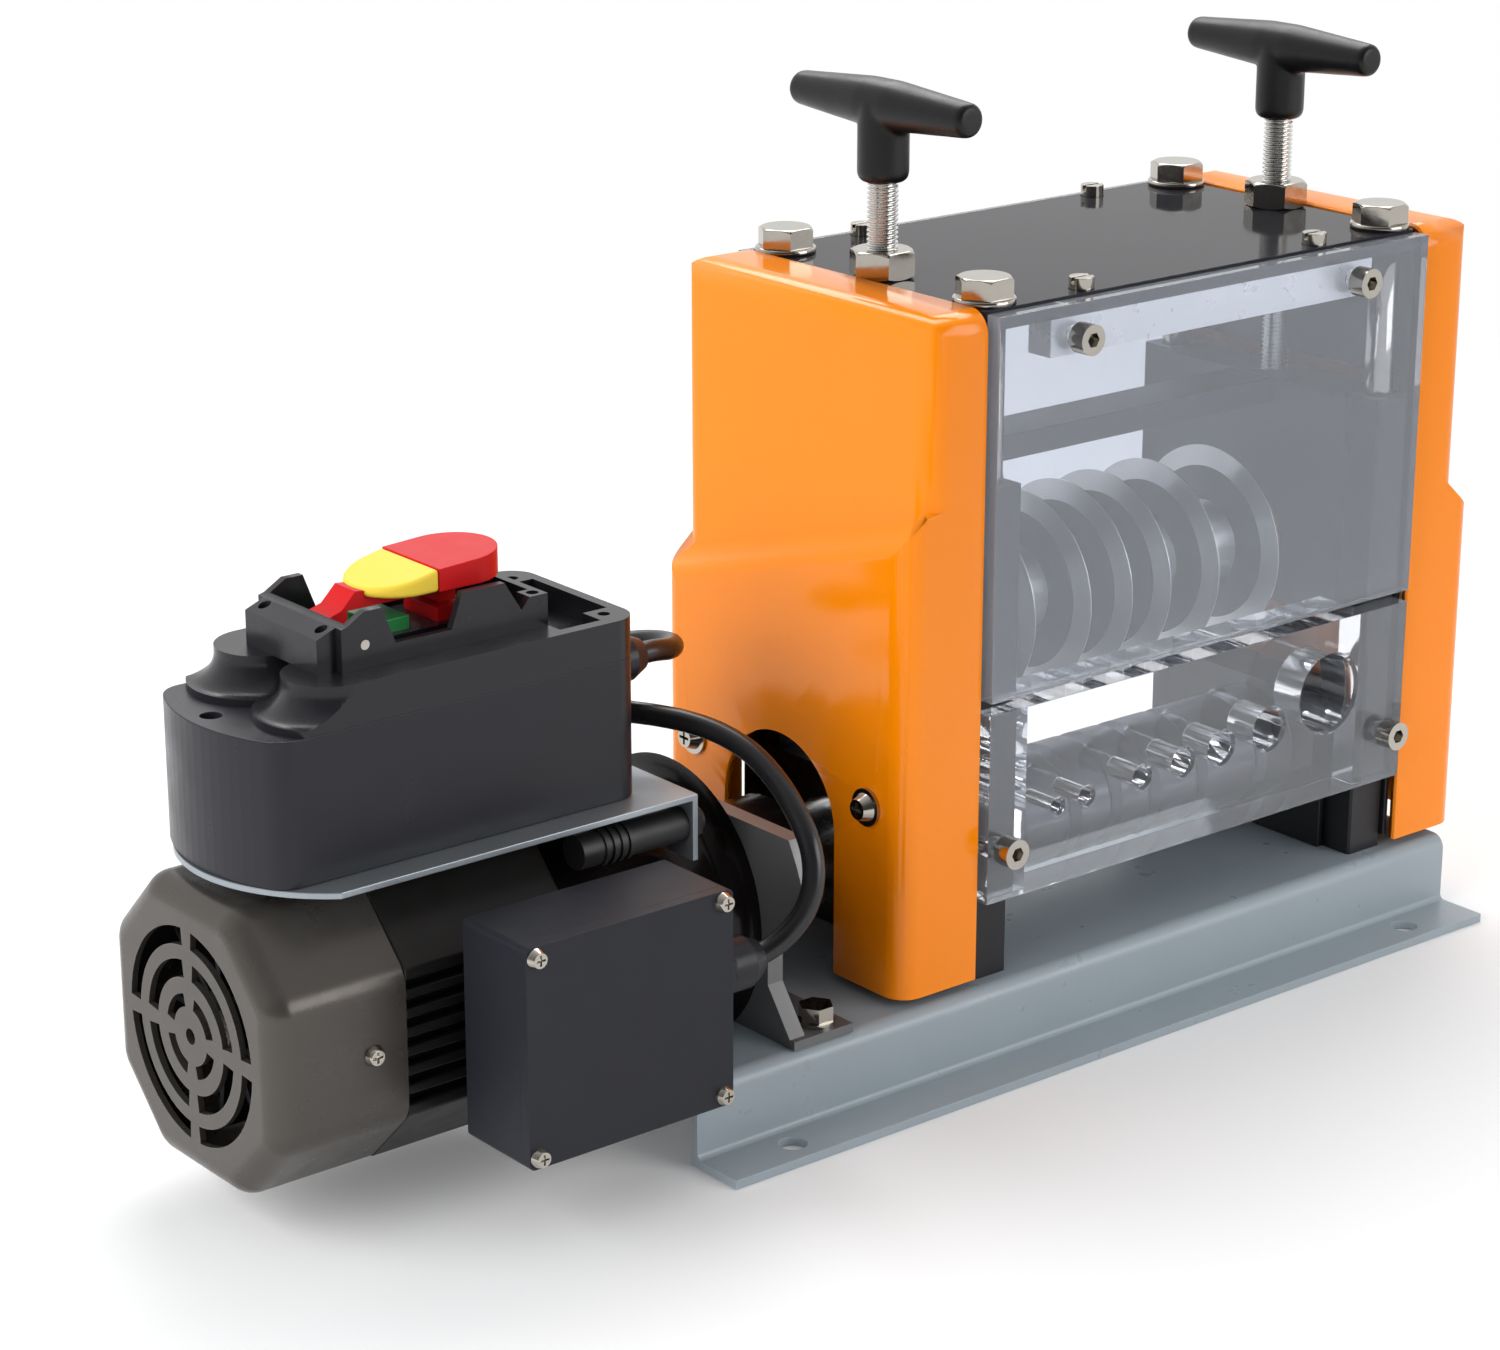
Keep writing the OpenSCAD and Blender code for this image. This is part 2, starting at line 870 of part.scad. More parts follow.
// Round blade with both faces ground to an edge
module round_blade() {
    land = 7;
    edge = 0.4;
    rotate([0, 90, 0])
        rotate_extrude()
            polygon([[shaft_r + run, -blade_t / 2], [blade_r - land, -blade_t / 2], [blade_r, -edge / 2],
                     [blade_r, edge / 2], [blade_r - land, blade_t / 2], [shaft_r + run, blade_t / 2]]);
}

module round_blades() {
    color([0.8, 0.8, 0.82])
        for (x = guide_x)
            translate([stand_x + x, 0, blade_z])
                round_blade();
}

module blade_spacers() {
    starts = concat([roll_x0], [for (x = guide_x) stand_x + x + blade_t / 2]);
    ends = concat([for (x = guide_x) stand_x + x - blade_t / 2], [roll_x1]);
    color([0.6, 0.6, 0.62])
        translate([0, 0, blade_z])
            for (i = [0 : len(starts) - 1])
                tube_x(starts[i], ends[i], spacer_r, shaft_r + run);
}

module shaft_collars() {
    color(steel)
        translate([0, 0, blade_z]) {
            tube_x(post_xs[0] - block_out - slide_gap - collar_w, post_xs[0] - block_out - slide_gap,
                   collar_r, shaft_r + run);
            tube_x(post_xs[1] + block_out + slide_gap, post_xs[1] + block_out + slide_gap + collar_w,
                   collar_r, shaft_r + run);
        }
}

module lower_shaft() {
    color(steel)
        translate([0, 0, roll_z])
            rod_x(output_x1 + 1, shaft_x1, shaft_r);
}

// Feed roller with a groove under every blade
module feed_roller() {
    groove_h = 2;
    groove_w = 3;
    grooves = [for (x = guide_x, p = [[-groove_w, 0], [0, -groove_h], [groove_w, 0]])
        [roll_r + p[1], stand_x + x + p[0]]];
    color([0.55, 0.55, 0.57])
        translate([0, 0, roll_z])
            rotate([0, 90, 0])
                rotate_extrude()
                    polygon(concat([[shaft_r + run, roll_x0], [roll_r - 1, roll_x0], [roll_r, roll_x0 + 1]],
                                   grooves,
                                   [[roll_r, roll_x1 - 1], [roll_r - 1, roll_x1], [shaft_r + run, roll_x1]]));
}

// T-handle screws

module pressure_screw(x) {
    translate([x, 0, upper_block_z1 - pocket_h + slide_gap])
        cylinder(h = bar_z - bar_r - 2 - upper_block_z1 + pocket_h, r = screw_r);
}

// Bar with tapered arms on a boss
module t_handle(x) {
    boss_r = bar_r + 0.5;
    boss_z = bar_z - 24.5;
    end_round = 1.5;
    difference() {
        union() {
            translate([x, 0, bar_z])
                rotate([-90, 0, 0])
                    rotate_extrude()
                        polygon([[0, -bar_len / 2], [bar_end_r - end_round, -bar_len / 2],
                                 [bar_end_r, -bar_len / 2 + end_round], [bar_r, -9], [bar_r, 9],
                                 [bar_end_r, bar_len / 2 - end_round], [bar_end_r - end_round, bar_len / 2],
                                 [0, bar_len / 2]]);
            translate([x, 0, boss_z])
                cylinder(h = 3, r1 = boss_r - 2, r2 = boss_r);
            translate([x, 0, boss_z + 3 - eps])
                cylinder(h = bar_z - boss_z - 3, r = boss_r);
        }
        translate([x, 0, boss_z - 1])
            cylinder(h = bar_z - bar_r - 1 - boss_z + slide_gap, r = screw_r + run);
    }
}

module left_screw() {
    color(steel)
        pressure_screw(post_xs[0]);
}

module right_screw() {
    color(steel)
        pressure_screw(post_xs[1]);
}

module left_handle() {
    color(dark)
        t_handle(post_xs[0]);
}

module right_handle() {
    color(dark)
        t_handle(post_xs[1]);
}

module lock_nuts() {
    color(steel)
        for (x = post_xs)
            translate([x, 0, plate_top])
                difference() {
                    cylinder(h = nut_h, d = screw_r * 3.8 / cos(30), $fn = 6);
                    translate([0, 0, -1])
                        cylinder(h = nut_h + 2, r = screw_r + run);
                }
}

// Gear motor

// Upright plate with a narrow waist and a foot flange
module motor_bracket() {
    head_r = 69.4;
    top = 36;
    head = [for (a = [15 : 5 : 30]) [head_r * cos(a), motor_z + head_r * sin(a)]];
    outline = concat([[bracket_half, base_h], [bracket_waist, base_h + 18], [bracket_waist, motor_z]],
                     head, [[sqrt(head_r * head_r - top * top), motor_z + top]]);
    other = [for (i = [len(outline) - 1 : -1 : 0]) [-outline[i][0], outline[i][1]]];
    color([0.72, 0.72, 0.74])
        difference() {
            union() {
                along_x(bracket_x, bracket_x + bracket_t)
                    polygon(concat(outline, other));
                block([bracket_x + eps, -bracket_half, base_h],
                      [bracket_x + bracket_t + bracket_foot, bracket_half, base_h + bracket_foot_t]);
            }
            translate([0, 0, motor_z])
                rod_x(bracket_x - 1, bracket_x + bracket_t + bracket_foot + 1, nose_r + 0.5);
            for (a = [45 : 90 : 315])
                translate([0, 32 * cos(a), motor_z + 32 * sin(a)])
                    rod_x(bracket_x - 1, bracket_x + bracket_t + 1, m6_r + loose);
            for (y = [-bracket_bolt_y, bracket_bolt_y])
                translate([bracket_x + bracket_t + bracket_foot / 2, y, base_h - 1])
                    cylinder(h = 7, r = m6_r + loose);
        }
}

module bracket_bolts() {
    color(steel) {
        for (y = [-bracket_bolt_y, bracket_bolt_y])
            translate([bracket_x + bracket_t + bracket_foot / 2, y, base_h + bracket_foot_t]) {
                cylinder(h = 1.5, r = m6_r * 2);
                translate([0, 0, 1.5 - eps])
                    hex_bolt(10, 5, m6_r, 12);
            }
        for (a = [45 : 90 : 315])
            translate([bracket_x + bracket_t, 32 * cos(a), motor_z + 32 * sin(a)])
                rotate([0, 90, 0])
                    cap_screw(m6_head_r, m6_head_h, m6_r, 16);
    }
}

// Square profile with cooling ribs along the motor
module ribbed_profile() {
    rib_pitch = 6;
    rib_depth = 4;
    rib_gap = 3;
    count = 3;
    difference() {
        chamfered_square(motor_w - 2, motor_c - 2);
        for (a = [0 : 90 : 270], i = [-count : count])
            rotate(a)
                translate([motor_w / 2 - 1 - rib_depth, i * rib_pitch - rib_gap / 2])
                    square([rib_depth + 1, rib_gap]);
    }
}

module motor_housing() {
    color(dark)
        difference() {
            translate([0, 0, motor_z])
                along_x(fan_x1, gear_x)
                    ribbed_profile();
            translate([0, 0, motor_z])
                rod_x(fan_x1 - 1, gear_x - 20, rotor_r + run);
        }
}

// Round housing that opens into a flange at the bracket, flat where it lies over the base, with a nose
module gear_head() {
    cove = 9;
    color([0.62, 0.62, 0.64])
        difference() {
            translate([0, 0, motor_z])
                union() {
                    rod_x(gear_x, bracket_x, gear_r);
                    rod_x(bracket_x - eps, nose_x, nose_r);
                    difference() {
                        rod_x(bracket_x - cove, bracket_x, gear_r + cove - 0.5);
                        translate([bracket_x - cove, 0, 0])
                            rotate([0, 90, 0])
                                rotate_extrude()
                                    translate([gear_r + cove, 0])
                                        circle(cove);
                    }
                }
            translate([0, 0, motor_z])
                rod_x(output_x0 - 1, nose_x + 1, output_r + run);
            for (a = [45 : 90 : 315])
                translate([0, 32 * cos(a), motor_z + 32 * sin(a)])
                    rod_x(bracket_x - 12, bracket_x + 1, m6_r + loose);
            block([-base_len / 2 - 1, -base_w, 0], [bracket_x + 1, base_w, base_h + slide_gap]);
        }
}

// Octagonal body whose front rim is round outside and bevelled inside
module fan_shell(inset) {
    rim = 8 - inset;
    x0 = fan_face_x + inset;
    flat_w = motor_w - 2 * inset;
    slant_w = sqrt(2) * (motor_w - motor_c) - 2 * inset;
    corner_r = norm([motor_w / 2, motor_w / 2 - motor_c]) - 0.9;
    length = fan_x1 - x0 + (inset > 0 ? 1 : 0);
    translate([x0 + length, 0, motor_z])
        intersection() {
            intersection_for (i = [0 : 3])
                rotate([i * 45, 0, 0])
                    rotate([0, -90, 0])
                        rotate([0, 0, 90])
                            translate([0, motor_w, 0])
                                rotate([90, 0, 0])
                                    linear_extrude(2 * motor_w)
                                        if (inset > 0)
                                            bevel_top(i % 2 == 0 ? flat_w : slant_w, length, rim);
                                        else
                                            round_top(i % 2 == 0 ? flat_w : slant_w, length, rim);
            rod_x(-length - 1, 1, corner_r - inset);
        }
}

module vent_slots() {
    rings = [[28, 33.5], [18, 23.5], [9, 13]];
    spoke = 5;
    for (r = rings)
        difference() {
            circle(r[1]);
            circle(r[0]);
            square([spoke, 100], center = true);
            square([100, spoke], center = true);
        }
    circle(2.5);
}

module fan_cover() {
    color([0.42, 0.4, 0.38])
        difference() {
            fan_shell(0);
            fan_shell(fan_wall);
            translate([0, 0, motor_z])
                along_x(fan_face_x - 1, fan_face_x + 3 * fan_wall)
                    vent_slots();
            for (s = [0, 1])
                mirror([0, s, 0])
                    translate([fan_x1 - 12, 0, motor_z])
                        rod_y(-motor_w / 2 - 1, -motor_w / 2 + 4, 2.2);
        }
}

module fan_cover_screws() {
    color(steel)
        for (s = [0, 1])
            mirror([0, s, 0])
                translate([fan_x1 - 12, -motor_w / 2, motor_z])
                    rotate([90, 0, 0])
                        pan_screw(3.4, 2, 3.5);
}

module motor_fan() {
    fan_x0 = fan_face_x + 10;
    blades = 9;
    color([0.1, 0.1, 0.1])
        translate([0, 0, motor_z])
            difference() {
                union() {
                    rod_x(fan_x0, fan_x0 + 18, 11);
                    rod_x(fan_x0 + 16, fan_x0 + 18, fan_r);
                    for (i = [0 : blades - 1])
                        rotate([i * 360 / blades, 0, 0])
                            block([fan_x0 + 2, 8, -1], [fan_x0 + 17, fan_r, 1]);
                }
                rod_x(fan_x0 - 1, fan_x0 + 19, rotor_r + run);
            }
}

module rotor_shaft() {
    color(steel)
        translate([0, 0, motor_z])
            rod_x(fan_face_x + 10, gear_x - 21, rotor_r);
}

module output_shaft() {
    color(steel)
        translate([0, 0, motor_z])
            rod_x(output_x0, output_x1, output_r);
}

module shaft_coupling() {
    chamfer = 1.5;
    color([0.5, 0.5, 0.52])
        difference() {
            translate([coupling_x0, 0, motor_z])
                rotate([0, 90, 0])
                    rotate_extrude()
                        polygon([[0, 0], [coupling_r - chamfer, 0], [coupling_r, chamfer],
                                 [coupling_r, coupling_x1 - coupling_x0 - chamfer],
                                 [coupling_r - chamfer, coupling_x1 - coupling_x0],
                                 [0, coupling_x1 - coupling_x0]]);
            translate([0, 0, motor_z]) {
                rod_x(coupling_x0 - 1, output_x1 + 1, output_r + run);
                rod_x(output_x1 + 0.5, coupling_x1 + 1, shaft_r + run);
            }
        }
}

// Junction box

module jbox_profile() {
    translate([(jbox_x0 + jbox_x1) / 2, jbox_z0 + jbox_h / 2])
        round_rect(jbox_len, jbox_h, 2);
}

module at_jbox_screws() {
    for (x = [jbox_x0 + jscrew_inset, jbox_x1 - jscrew_inset],
         z = [jbox_z0 + jscrew_inset, jbox_z0 + jbox_h - jscrew_inset])
        translate([x, jbox_y0, z])
            rotate([90, 0, 0])
                children();
}

module junction_box() {
    color(dark)
        difference() {
            union() {
                along_y(jbox_y0 + jbox_lid_t, jbox_y1)
                    jbox_profile();
                block([fan_x1 + 25, jbox_y1 - eps, motor_z - 16],
                      [gear_x - 6, -motor_w / 2 + 1, motor_z + 16]);
            }
            at_jbox_screws()
                translate([0, 0, -14])
                    cylinder(h = 15, r = 2 + loose);
        }
}

module junction_lid() {
    color(dark)
        difference() {
            along_y(jbox_y0, jbox_y0 + jbox_lid_t)
                jbox_profile();
            at_jbox_screws()
                translate([0, 0, -jbox_lid_t - 1])
                    cylinder(h = jbox_lid_t + 2, r = 2 + loose);
        }
}

module junction_screws() {
    color(steel)
        at_jbox_screws()
            pan_screw(jscrew_r, 2, 13);
}

// Cable gland that stands on x = 0 and points along +X
module gland(r, length, bore) {
    rotate([0, 90, 0])
        difference() {
            union() {
                cylinder(h = length * 0.35, r = r, $fn = 6);
                translate([0, 0, length * 0.35 - eps])
                    cylinder(h = length * 0.4, r = r * 0.88);
                translate([0, 0, length * 0.75 - 2 * eps])
                    cylinder(h = length * 0.25, r1 = r * 0.88, r2 = r * 0.6);
            }
            translate([0, 0, length * 0.5])
                cylinder(h = length, r = bore);
        }
}

module junction_gland() {
    color(dark)
        translate([jbox_x1, jbox_gland_y, jbox_gland_z])
            gland(gland_r, gland_len, lead_r + loose);
}

// Switch box

// Plan of the box with its bowed left end
module sbox_plan() {
    corner = 9;
    offset(r = corner, $fn = 48)
        offset(delta = -corner)
            intersection() {
                translate([sbox_x0, sbox_y - sbox_w / 2])
                    square([sbox_len, sbox_w]);
                union() {
                    translate([sbox_x0 + end_r, sbox_y])
                        circle(end_r, $fn = 96);
                    translate([sbox_x0 + end_r, sbox_y - sbox_w / 2])
                        square([sbox_len, sbox_w]);
                }
            }
}

// Sheet tray with a bowed left end and a flange bent down at its right front corner
module switch_tray() {
    color([0.68, 0.7, 0.72])
        difference() {
            union() {
                translate([0, 0, tray_z0])
                    linear_extrude(tray_t)
                        intersection() {
                            translate([sbox_x0 - 1, -tray_w / 2])
                                square([tray_x1 - sbox_x0 + 1, tray_w]);
                            union() {
                                translate([sbox_x0 + tray_w * 0.6 - 1, 0])
                                    circle(tray_w * 0.6);
                                translate([sbox_x0 + tray_w * 0.6 - 1, -tray_w / 2])
                                    square([tray_x1 - sbox_x0, tray_w]);
                            }
                        }
                block([tray_x1 - tray_t, flange_y0, tray_z0 - flange_h], [tray_x1, flange_y1, tray_z0 + eps]);
            }
            translate([0, fuse_y, fuse_z])
                rod_x(tray_x1 - tray_t - 1, tray_x1 + 1, 4 + loose);
        }
}

module tray_spacers() {
    color(steel)
        for (x = [fan_x1 + 14, gear_x - 14], y = [-22, 22])
            translate([x, y, motor_z + motor_w / 2 - 0.5])
                cylinder(h = tray_gap + 0.5, r = 5);
}

// Panel fuse holder with a ribbed cap and its nut
module fuse_holder() {
    color([0.2, 0.2, 0.21])
        translate([0, fuse_y, fuse_z])
            union() {
                rod_x(tray_x1 - tray_t - fuse_len, tray_x1 - tray_t, fuse_r);
                for (i = [0 : 3])
                    rod_x(tray_x1 - tray_t - fuse_len + 8 + 3 * i, tray_x1 - tray_t - fuse_len + 9.5 + 3 * i,
                          fuse_r + 0.6);
                rod_x(tray_x1 - tray_t - eps, tray_x1 + 5, 4);
                translate([tray_x1, 0, 0])
                    rotate([0, 90, 0])
                        cylinder(h = 3, r = 6, $fn = 6);
            }
}

// Box with a screw recess in the lip that its lid leaves free
module switch_box() {
    recess = 6;
    color(dark)
        difference() {
            translate([0, 0, tray_z1])
                linear_extrude(sbox_h)
                    sbox_plan();
            translate([sbox_x0 + 7.5, sbox_y + 2, sbox_z1 - recess])
                cylinder(h = recess + 1, r = 3.2);
        }
}

// Lid with two flared screw bosses at its bowed end and a pocket at its square end
module switch_lid() {
    lobe_r = 14;
    lobe_x = bezel_x0 - 2;
    lobe_y = sbox_w / 2 - lobe_r;
    cove = 8.5;
    lip = 2;
    pocket_deep = 8;
    pocket_half = sbox_w / 2 - 4;
    pocket_x1 = sbox_x1 - 3.5;
    post = 9;
    post_y = pocket_half - post / 2;
    color(dark)
        difference() {
            intersection() {
                translate([0, 0, sbox_z1])
                    linear_extrude(lid_h)
                        sbox_plan();
                union() {
                    block([lobe_x, sbox_y - sbox_w, sbox_z1], [sbox_x1 + 1, sbox_y + sbox_w, lid_z1]);
                    for (s = [-1, 1])
                        translate([lobe_x, sbox_y + s * lobe_y, sbox_z1])
                            rotate_extrude()
                                difference() {
                                    square([lobe_r + cove, lid_h]);
                                    translate([lobe_r + cove, lip + cove])
                                        circle(cove);
                                    translate([lobe_r, lip + cove])
                                        square([cove + 1, lid_h]);
                                }
                }
            }
            difference() {
                block([bezel_x1, sbox_y - pocket_half, lid_z1 - pocket_deep],
                      [pocket_x1, sbox_y + pocket_half, lid_z1 + 1]);
                for (s = [-1, 1])
                    translate([pocket_x1 - post, sbox_y + s * post_y - post / 2, sbox_z1])
                        cube([post + 1, post, lid_h + 2]);
            }
            for (s = [-1, 1])
                translate([pocket_x1 - post / 2, sbox_y + s * post_y, lid_z1 - pocket_deep])
                    cylinder(h = pocket_deep + 1, r = m4_r + loose);
        }
}

// Frame round the paddle, with a block at its hinge end and a finger notch in each long wall
module switch_bezel() {
    x = bezel_x0;
    z = lid_z1;
    top = lid_z1 + bezel_h;
    post = 6.5;
    notch_z = z + 5.5;
    low_z = z + 10;
    wall = [[x - ear_len - 1, low_z], [x, z + 13], [x + 2, z + 13.5], [x + 8, top], [x + 14, top],
            [x + 18.5, notch_z], [x + 38, notch_z], [x + 42, top - 1], [x + 57, top - 1], [x + 63, z + 6.5],
            [bezel_x1 - post, low_z], [bezel_x1 + 1, low_z], [bezel_x1 + 1, top + 1],
            [x - ear_len - 1, top + 1]];
    color(dark)
        translate([0, sbox_y, 0])
            difference() {
                union() {
                    difference() {
                        block([bezel_x0, -bezel_half, lid_z1], [bezel_x1, bezel_half, top]);
                        block([bezel_x0 + bezel_wall, -bezel_half + bezel_wall, lid_z1 - 1],
                              [bezel_x1 - bezel_wall, bezel_half - bezel_wall, top + 1]);
                    }
                    block([bezel_x0 - ear_len, -ear_half, lid_z1], [bezel_x0 + eps, ear_half, top]);
                    for (s = [-1, 1])
                        translate([bezel_x1 - post, s * (bezel_half - post / 2) - post / 2, lid_z1])
                            cube([post, post, bezel_h]);
                }
                along_y(-bezel_half - 1, bezel_half + 1)
                    polygon(wall);
                for (s = [-1, 1]) {
                    translate([bezel_x0 - ear_len / 2 + 1, s * (ear_half - 4), z + 4])
                        cylinder(h = bezel_h, r = m4_r + loose);
                    translate([bezel_x1 - post / 2, s * (bezel_half - post / 2), z + 4])
                        cylinder(h = bezel_h, r = m4_r + loose);
                }
                translate([hinge_x, 0, hinge_z])
                    rod_y(-bezel_half - 1, bezel_half + 1, pin_r + loose);
            }
}

module switch_glands() {
    color(dark)
        for (y = [sgland_y, mains_gland_y])
            translate([sbox_x1, y, sgland_z])
                gland(gland_r - 1, gland_len, lead_r + loose);
}

// Push-button module under the paddle
module switch_block() {
    color([0.16, 0.16, 0.17])
        translate([0, sbox_y, 0])
            difference() {
                block([start_x - button_half - 3, -12, lid_z1], [stop_x + button_half + 3, 12, block_top]);
                for (x = [start_x, stop_x])
                    block([x - button_half - slide_gap, -button_w / 2 - slide_gap, lid_z1 + 0.5],
                          [x + button_half + slide_gap, button_w / 2 + slide_gap, block_top + 1]);
            }
}

module push_button(x) {
    translate([0, sbox_y, 0])
        block([x - button_half, -button_w / 2, block_top - 0.5],
              [x + button_half, button_w / 2, block_top + button_rise]);
}

module start_button() {
    color([0.1, 0.5, 0.2])
        push_button(start_x);
}

module stop_button() {
    color([0.75, 0.1, 0.1])
        push_button(stop_x);
}

// Long pad with round ends under a top that slopes less behind the split
module paddle_head() {
    intersection() {
        union() {
            for (x = [head_x0 + head_r, head_x1 - head_r])
                translate([x, 0, head_z0])
                    cylinder(h = 20, r = head_r);
            block([head_x0 + head_r, -head_r, head_z0], [head_x1 - head_r, head_r, head_z0 + 20]);
        }
        under_slope(head_slope);
        under_slope(head_tip_slope);
    }
}

// All that lies under a plane through the pad's split line
module under_slope(angle) {
    translate([head_split, 0, head_z0 + head_h])
        rotate([0, -angle, 0])
            block([-60, -30, -60], [60, 30, 0]);
}

// Rocking arm that presses the stop button, with the rear half of the pad
module emergency_paddle() {
    arm = 5.5;
    pusher_z = block_top + button_rise + slide_gap;
    color([0.85, 0.16, 0.14])
        translate([0, sbox_y, 0])
            difference() {
                union() {
                    intersection() {
                        paddle_head();
                        block([head_split, -30, lid_z1], [head_x1 + 1, 30, lid_z1 + 60]);
                    }
                    along_y(-arm, arm)
                        polygon([[hinge_x - 3.5, hinge_z - 3], [hinge_x + 5, hinge_z - 3],
                                 [hinge_x + 5, head_z0 - 3],
                                 [head_x1 - head_r, head_z0 - 3], [head_x1 - head_r, head_z0 + eps],
                                 [head_x0 + 3, head_z0 + eps], [head_x0 + 3, head_z0 + 2],
                                 [hinge_x + 8, head_z0 + 2.5], [hinge_x + 3, head_z0 - 2.5],
                                 [hinge_x - 3.5, hinge_z + 3.5]]);
                    block([stop_x - 3, -arm, pusher_z], [stop_x + 3, arm, head_z0]);
                }
                translate([hinge_x, 0, hinge_z])
                    rod_y(-arm - 1, arm + 1, pin_r + run);
                paddle_front();
            }
}

// Front half of the pad
module paddle_front() {
    intersection() {
        paddle_head();
        block([head_x0 - 1, -30, head_z0], [head_split, 30, lid_z1 + 60]);
    }
}

module paddle_boss() {
    color([0.97, 0.9, 0.3])
        translate([0, sbox_y, 0])
            paddle_front();
}

module paddle_pin() {
    color(steel)
        translate([hinge_x, sbox_y, hinge_z])
            rod_y(-bezel_half, bezel_half, pin_r);
}

// Motor lead

function unit(v) = v / norm(v);

// Point of a smooth curve through the route, u from 0 to 1 between points i and i + 1
function curve(p, i, u) =
    let (last = len(p) - 1,
         a = p[max(i - 1, 0)],
         b = p[i],
         c = p[min(i + 1, last)],
         d = p[min(i + 2, last)])
    0.5 * (2 * b + (c - a) * u + (2 * a - 5 * b + 4 * c - d) * u * u + (3 * b - a - 3 * c + d) * u * u * u);

function smooth(p, steps) =
    concat([for (i = [0 : len(p) - 2], k = [0 : steps - 1]) curve(p, i, k / steps)], [p[len(p) - 1]]);

function tangents(p) =
    [for (i = [0 : len(p) - 1]) unit(p[min(i + 1, len(p) - 1)] - p[max(i - 1, 0)])];

// Side vectors carried along the curve without twist
function sides(t) =
    [for (i = 0, n = unit(cross(t[0], [0, 0, 1])); i < len(t);
          i = i + 1, n = i < len(t) ? unit(n - (n * t[i]) * t[i]) : n) n];

module swept_tube(p, r, count) {
    t = tangents(p);
    n = sides(t);
    last = len(p) - 1;
    rings = [for (i = [0 : last], k = [0 : count - 1])
        p[i] + r * (n[i] * cos(k * 360 / count) + cross(t[i], n[i]) * sin(k * 360 / count))];
    walls = [for (i = [0 : last - 1], k = [0 : count - 1], side = [0, 1])
        let (a = i * count + k, b = i * count + (k + 1) % count)
        side == 0 ? [a, a + count, b] : [b, a + count, b + count]];
    near = [for (k = [1 : count - 2]) [0, k, k + 1]];
    far = [for (k = [1 : count - 2]) [last * count, last * count + k + 1, last * count + k]];
    polyhedron(concat(rings), concat(walls, near, far));
}

module motor_lead() {
    color([0.08, 0.08, 0.08])
        swept_tube(smooth(lead_route, 2), lead_r, 10);
}

base_channel();
corner_posts();
top_plate();
plate_bolts();
side_plates();
panel_bars();
bar_studs();
front_panel();
rear_panel();
panel_screws();
guide_block();
guide_screws();
left_cover();
right_cover();
cover_standoffs();
cover_screws();
lower_bearing_blocks();
lower_bushes();
lock_nuts();
motor_bracket();
bracket_bolts();
motor_housing();
gear_head();
fan_cover();
fan_cover_screws();
motor_fan();
rotor_shaft();
output_shaft();
shaft_coupling();
lower_shaft();
feed_roller();
upper_bearing_blocks();
tie_bar();
upper_bushes();
upper_shaft();
round_blades();
blade_spacers();
shaft_collars();
left_screw();
left_handle();
right_screw();
right_handle();
junction_box();
junction_lid();
junction_screws();
junction_gland();
switch_tray();
tray_spacers();
fuse_holder();
switch_box();
switch_lid();
switch_bezel();
switch_glands();
switch_block();
emergency_paddle();
paddle_boss();
paddle_pin();
start_button();
stop_button();
motor_lead();
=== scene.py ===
"""Looks of an electric wire stripper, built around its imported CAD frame.

Lengths are in metres, in the frame of the CAD model: +X along the base away from the motor, +Y to the rear, +Z up.
"""

import json
import math

import bmesh
import bpy
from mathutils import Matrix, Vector


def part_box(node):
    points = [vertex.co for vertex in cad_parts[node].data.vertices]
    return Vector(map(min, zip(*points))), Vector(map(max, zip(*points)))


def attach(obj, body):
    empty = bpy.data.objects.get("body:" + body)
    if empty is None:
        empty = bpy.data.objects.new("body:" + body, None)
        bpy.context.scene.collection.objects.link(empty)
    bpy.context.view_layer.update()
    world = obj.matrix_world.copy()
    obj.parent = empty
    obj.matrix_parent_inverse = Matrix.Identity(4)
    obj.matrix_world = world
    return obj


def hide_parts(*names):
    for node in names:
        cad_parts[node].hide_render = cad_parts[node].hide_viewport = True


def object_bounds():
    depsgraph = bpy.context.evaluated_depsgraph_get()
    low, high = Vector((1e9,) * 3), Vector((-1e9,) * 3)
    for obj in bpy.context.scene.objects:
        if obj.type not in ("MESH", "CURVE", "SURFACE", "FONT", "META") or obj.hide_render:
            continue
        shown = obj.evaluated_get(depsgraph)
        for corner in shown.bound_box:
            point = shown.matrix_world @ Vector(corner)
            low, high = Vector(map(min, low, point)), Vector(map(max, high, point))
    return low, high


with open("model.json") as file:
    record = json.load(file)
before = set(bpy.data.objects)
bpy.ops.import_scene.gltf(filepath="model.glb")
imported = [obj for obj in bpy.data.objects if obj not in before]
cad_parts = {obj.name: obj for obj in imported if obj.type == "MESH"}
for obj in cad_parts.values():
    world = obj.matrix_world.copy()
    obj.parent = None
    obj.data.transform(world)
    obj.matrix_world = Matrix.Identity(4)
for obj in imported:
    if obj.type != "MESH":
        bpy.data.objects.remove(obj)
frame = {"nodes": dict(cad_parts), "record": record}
CAD_LOW, CAD_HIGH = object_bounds()
NODES = frame["nodes"]
SCENE = bpy.context.scene
MM = 0.001


# Camera


def direction(azimuth, elevation):
    """Unit vector from the object towards a viewer at these angles, in degrees."""
    a, e = math.radians(azimuth), math.radians(elevation)
    return Vector((math.sin(a) * math.cos(e), -math.cos(a) * math.cos(e), math.sin(e)))


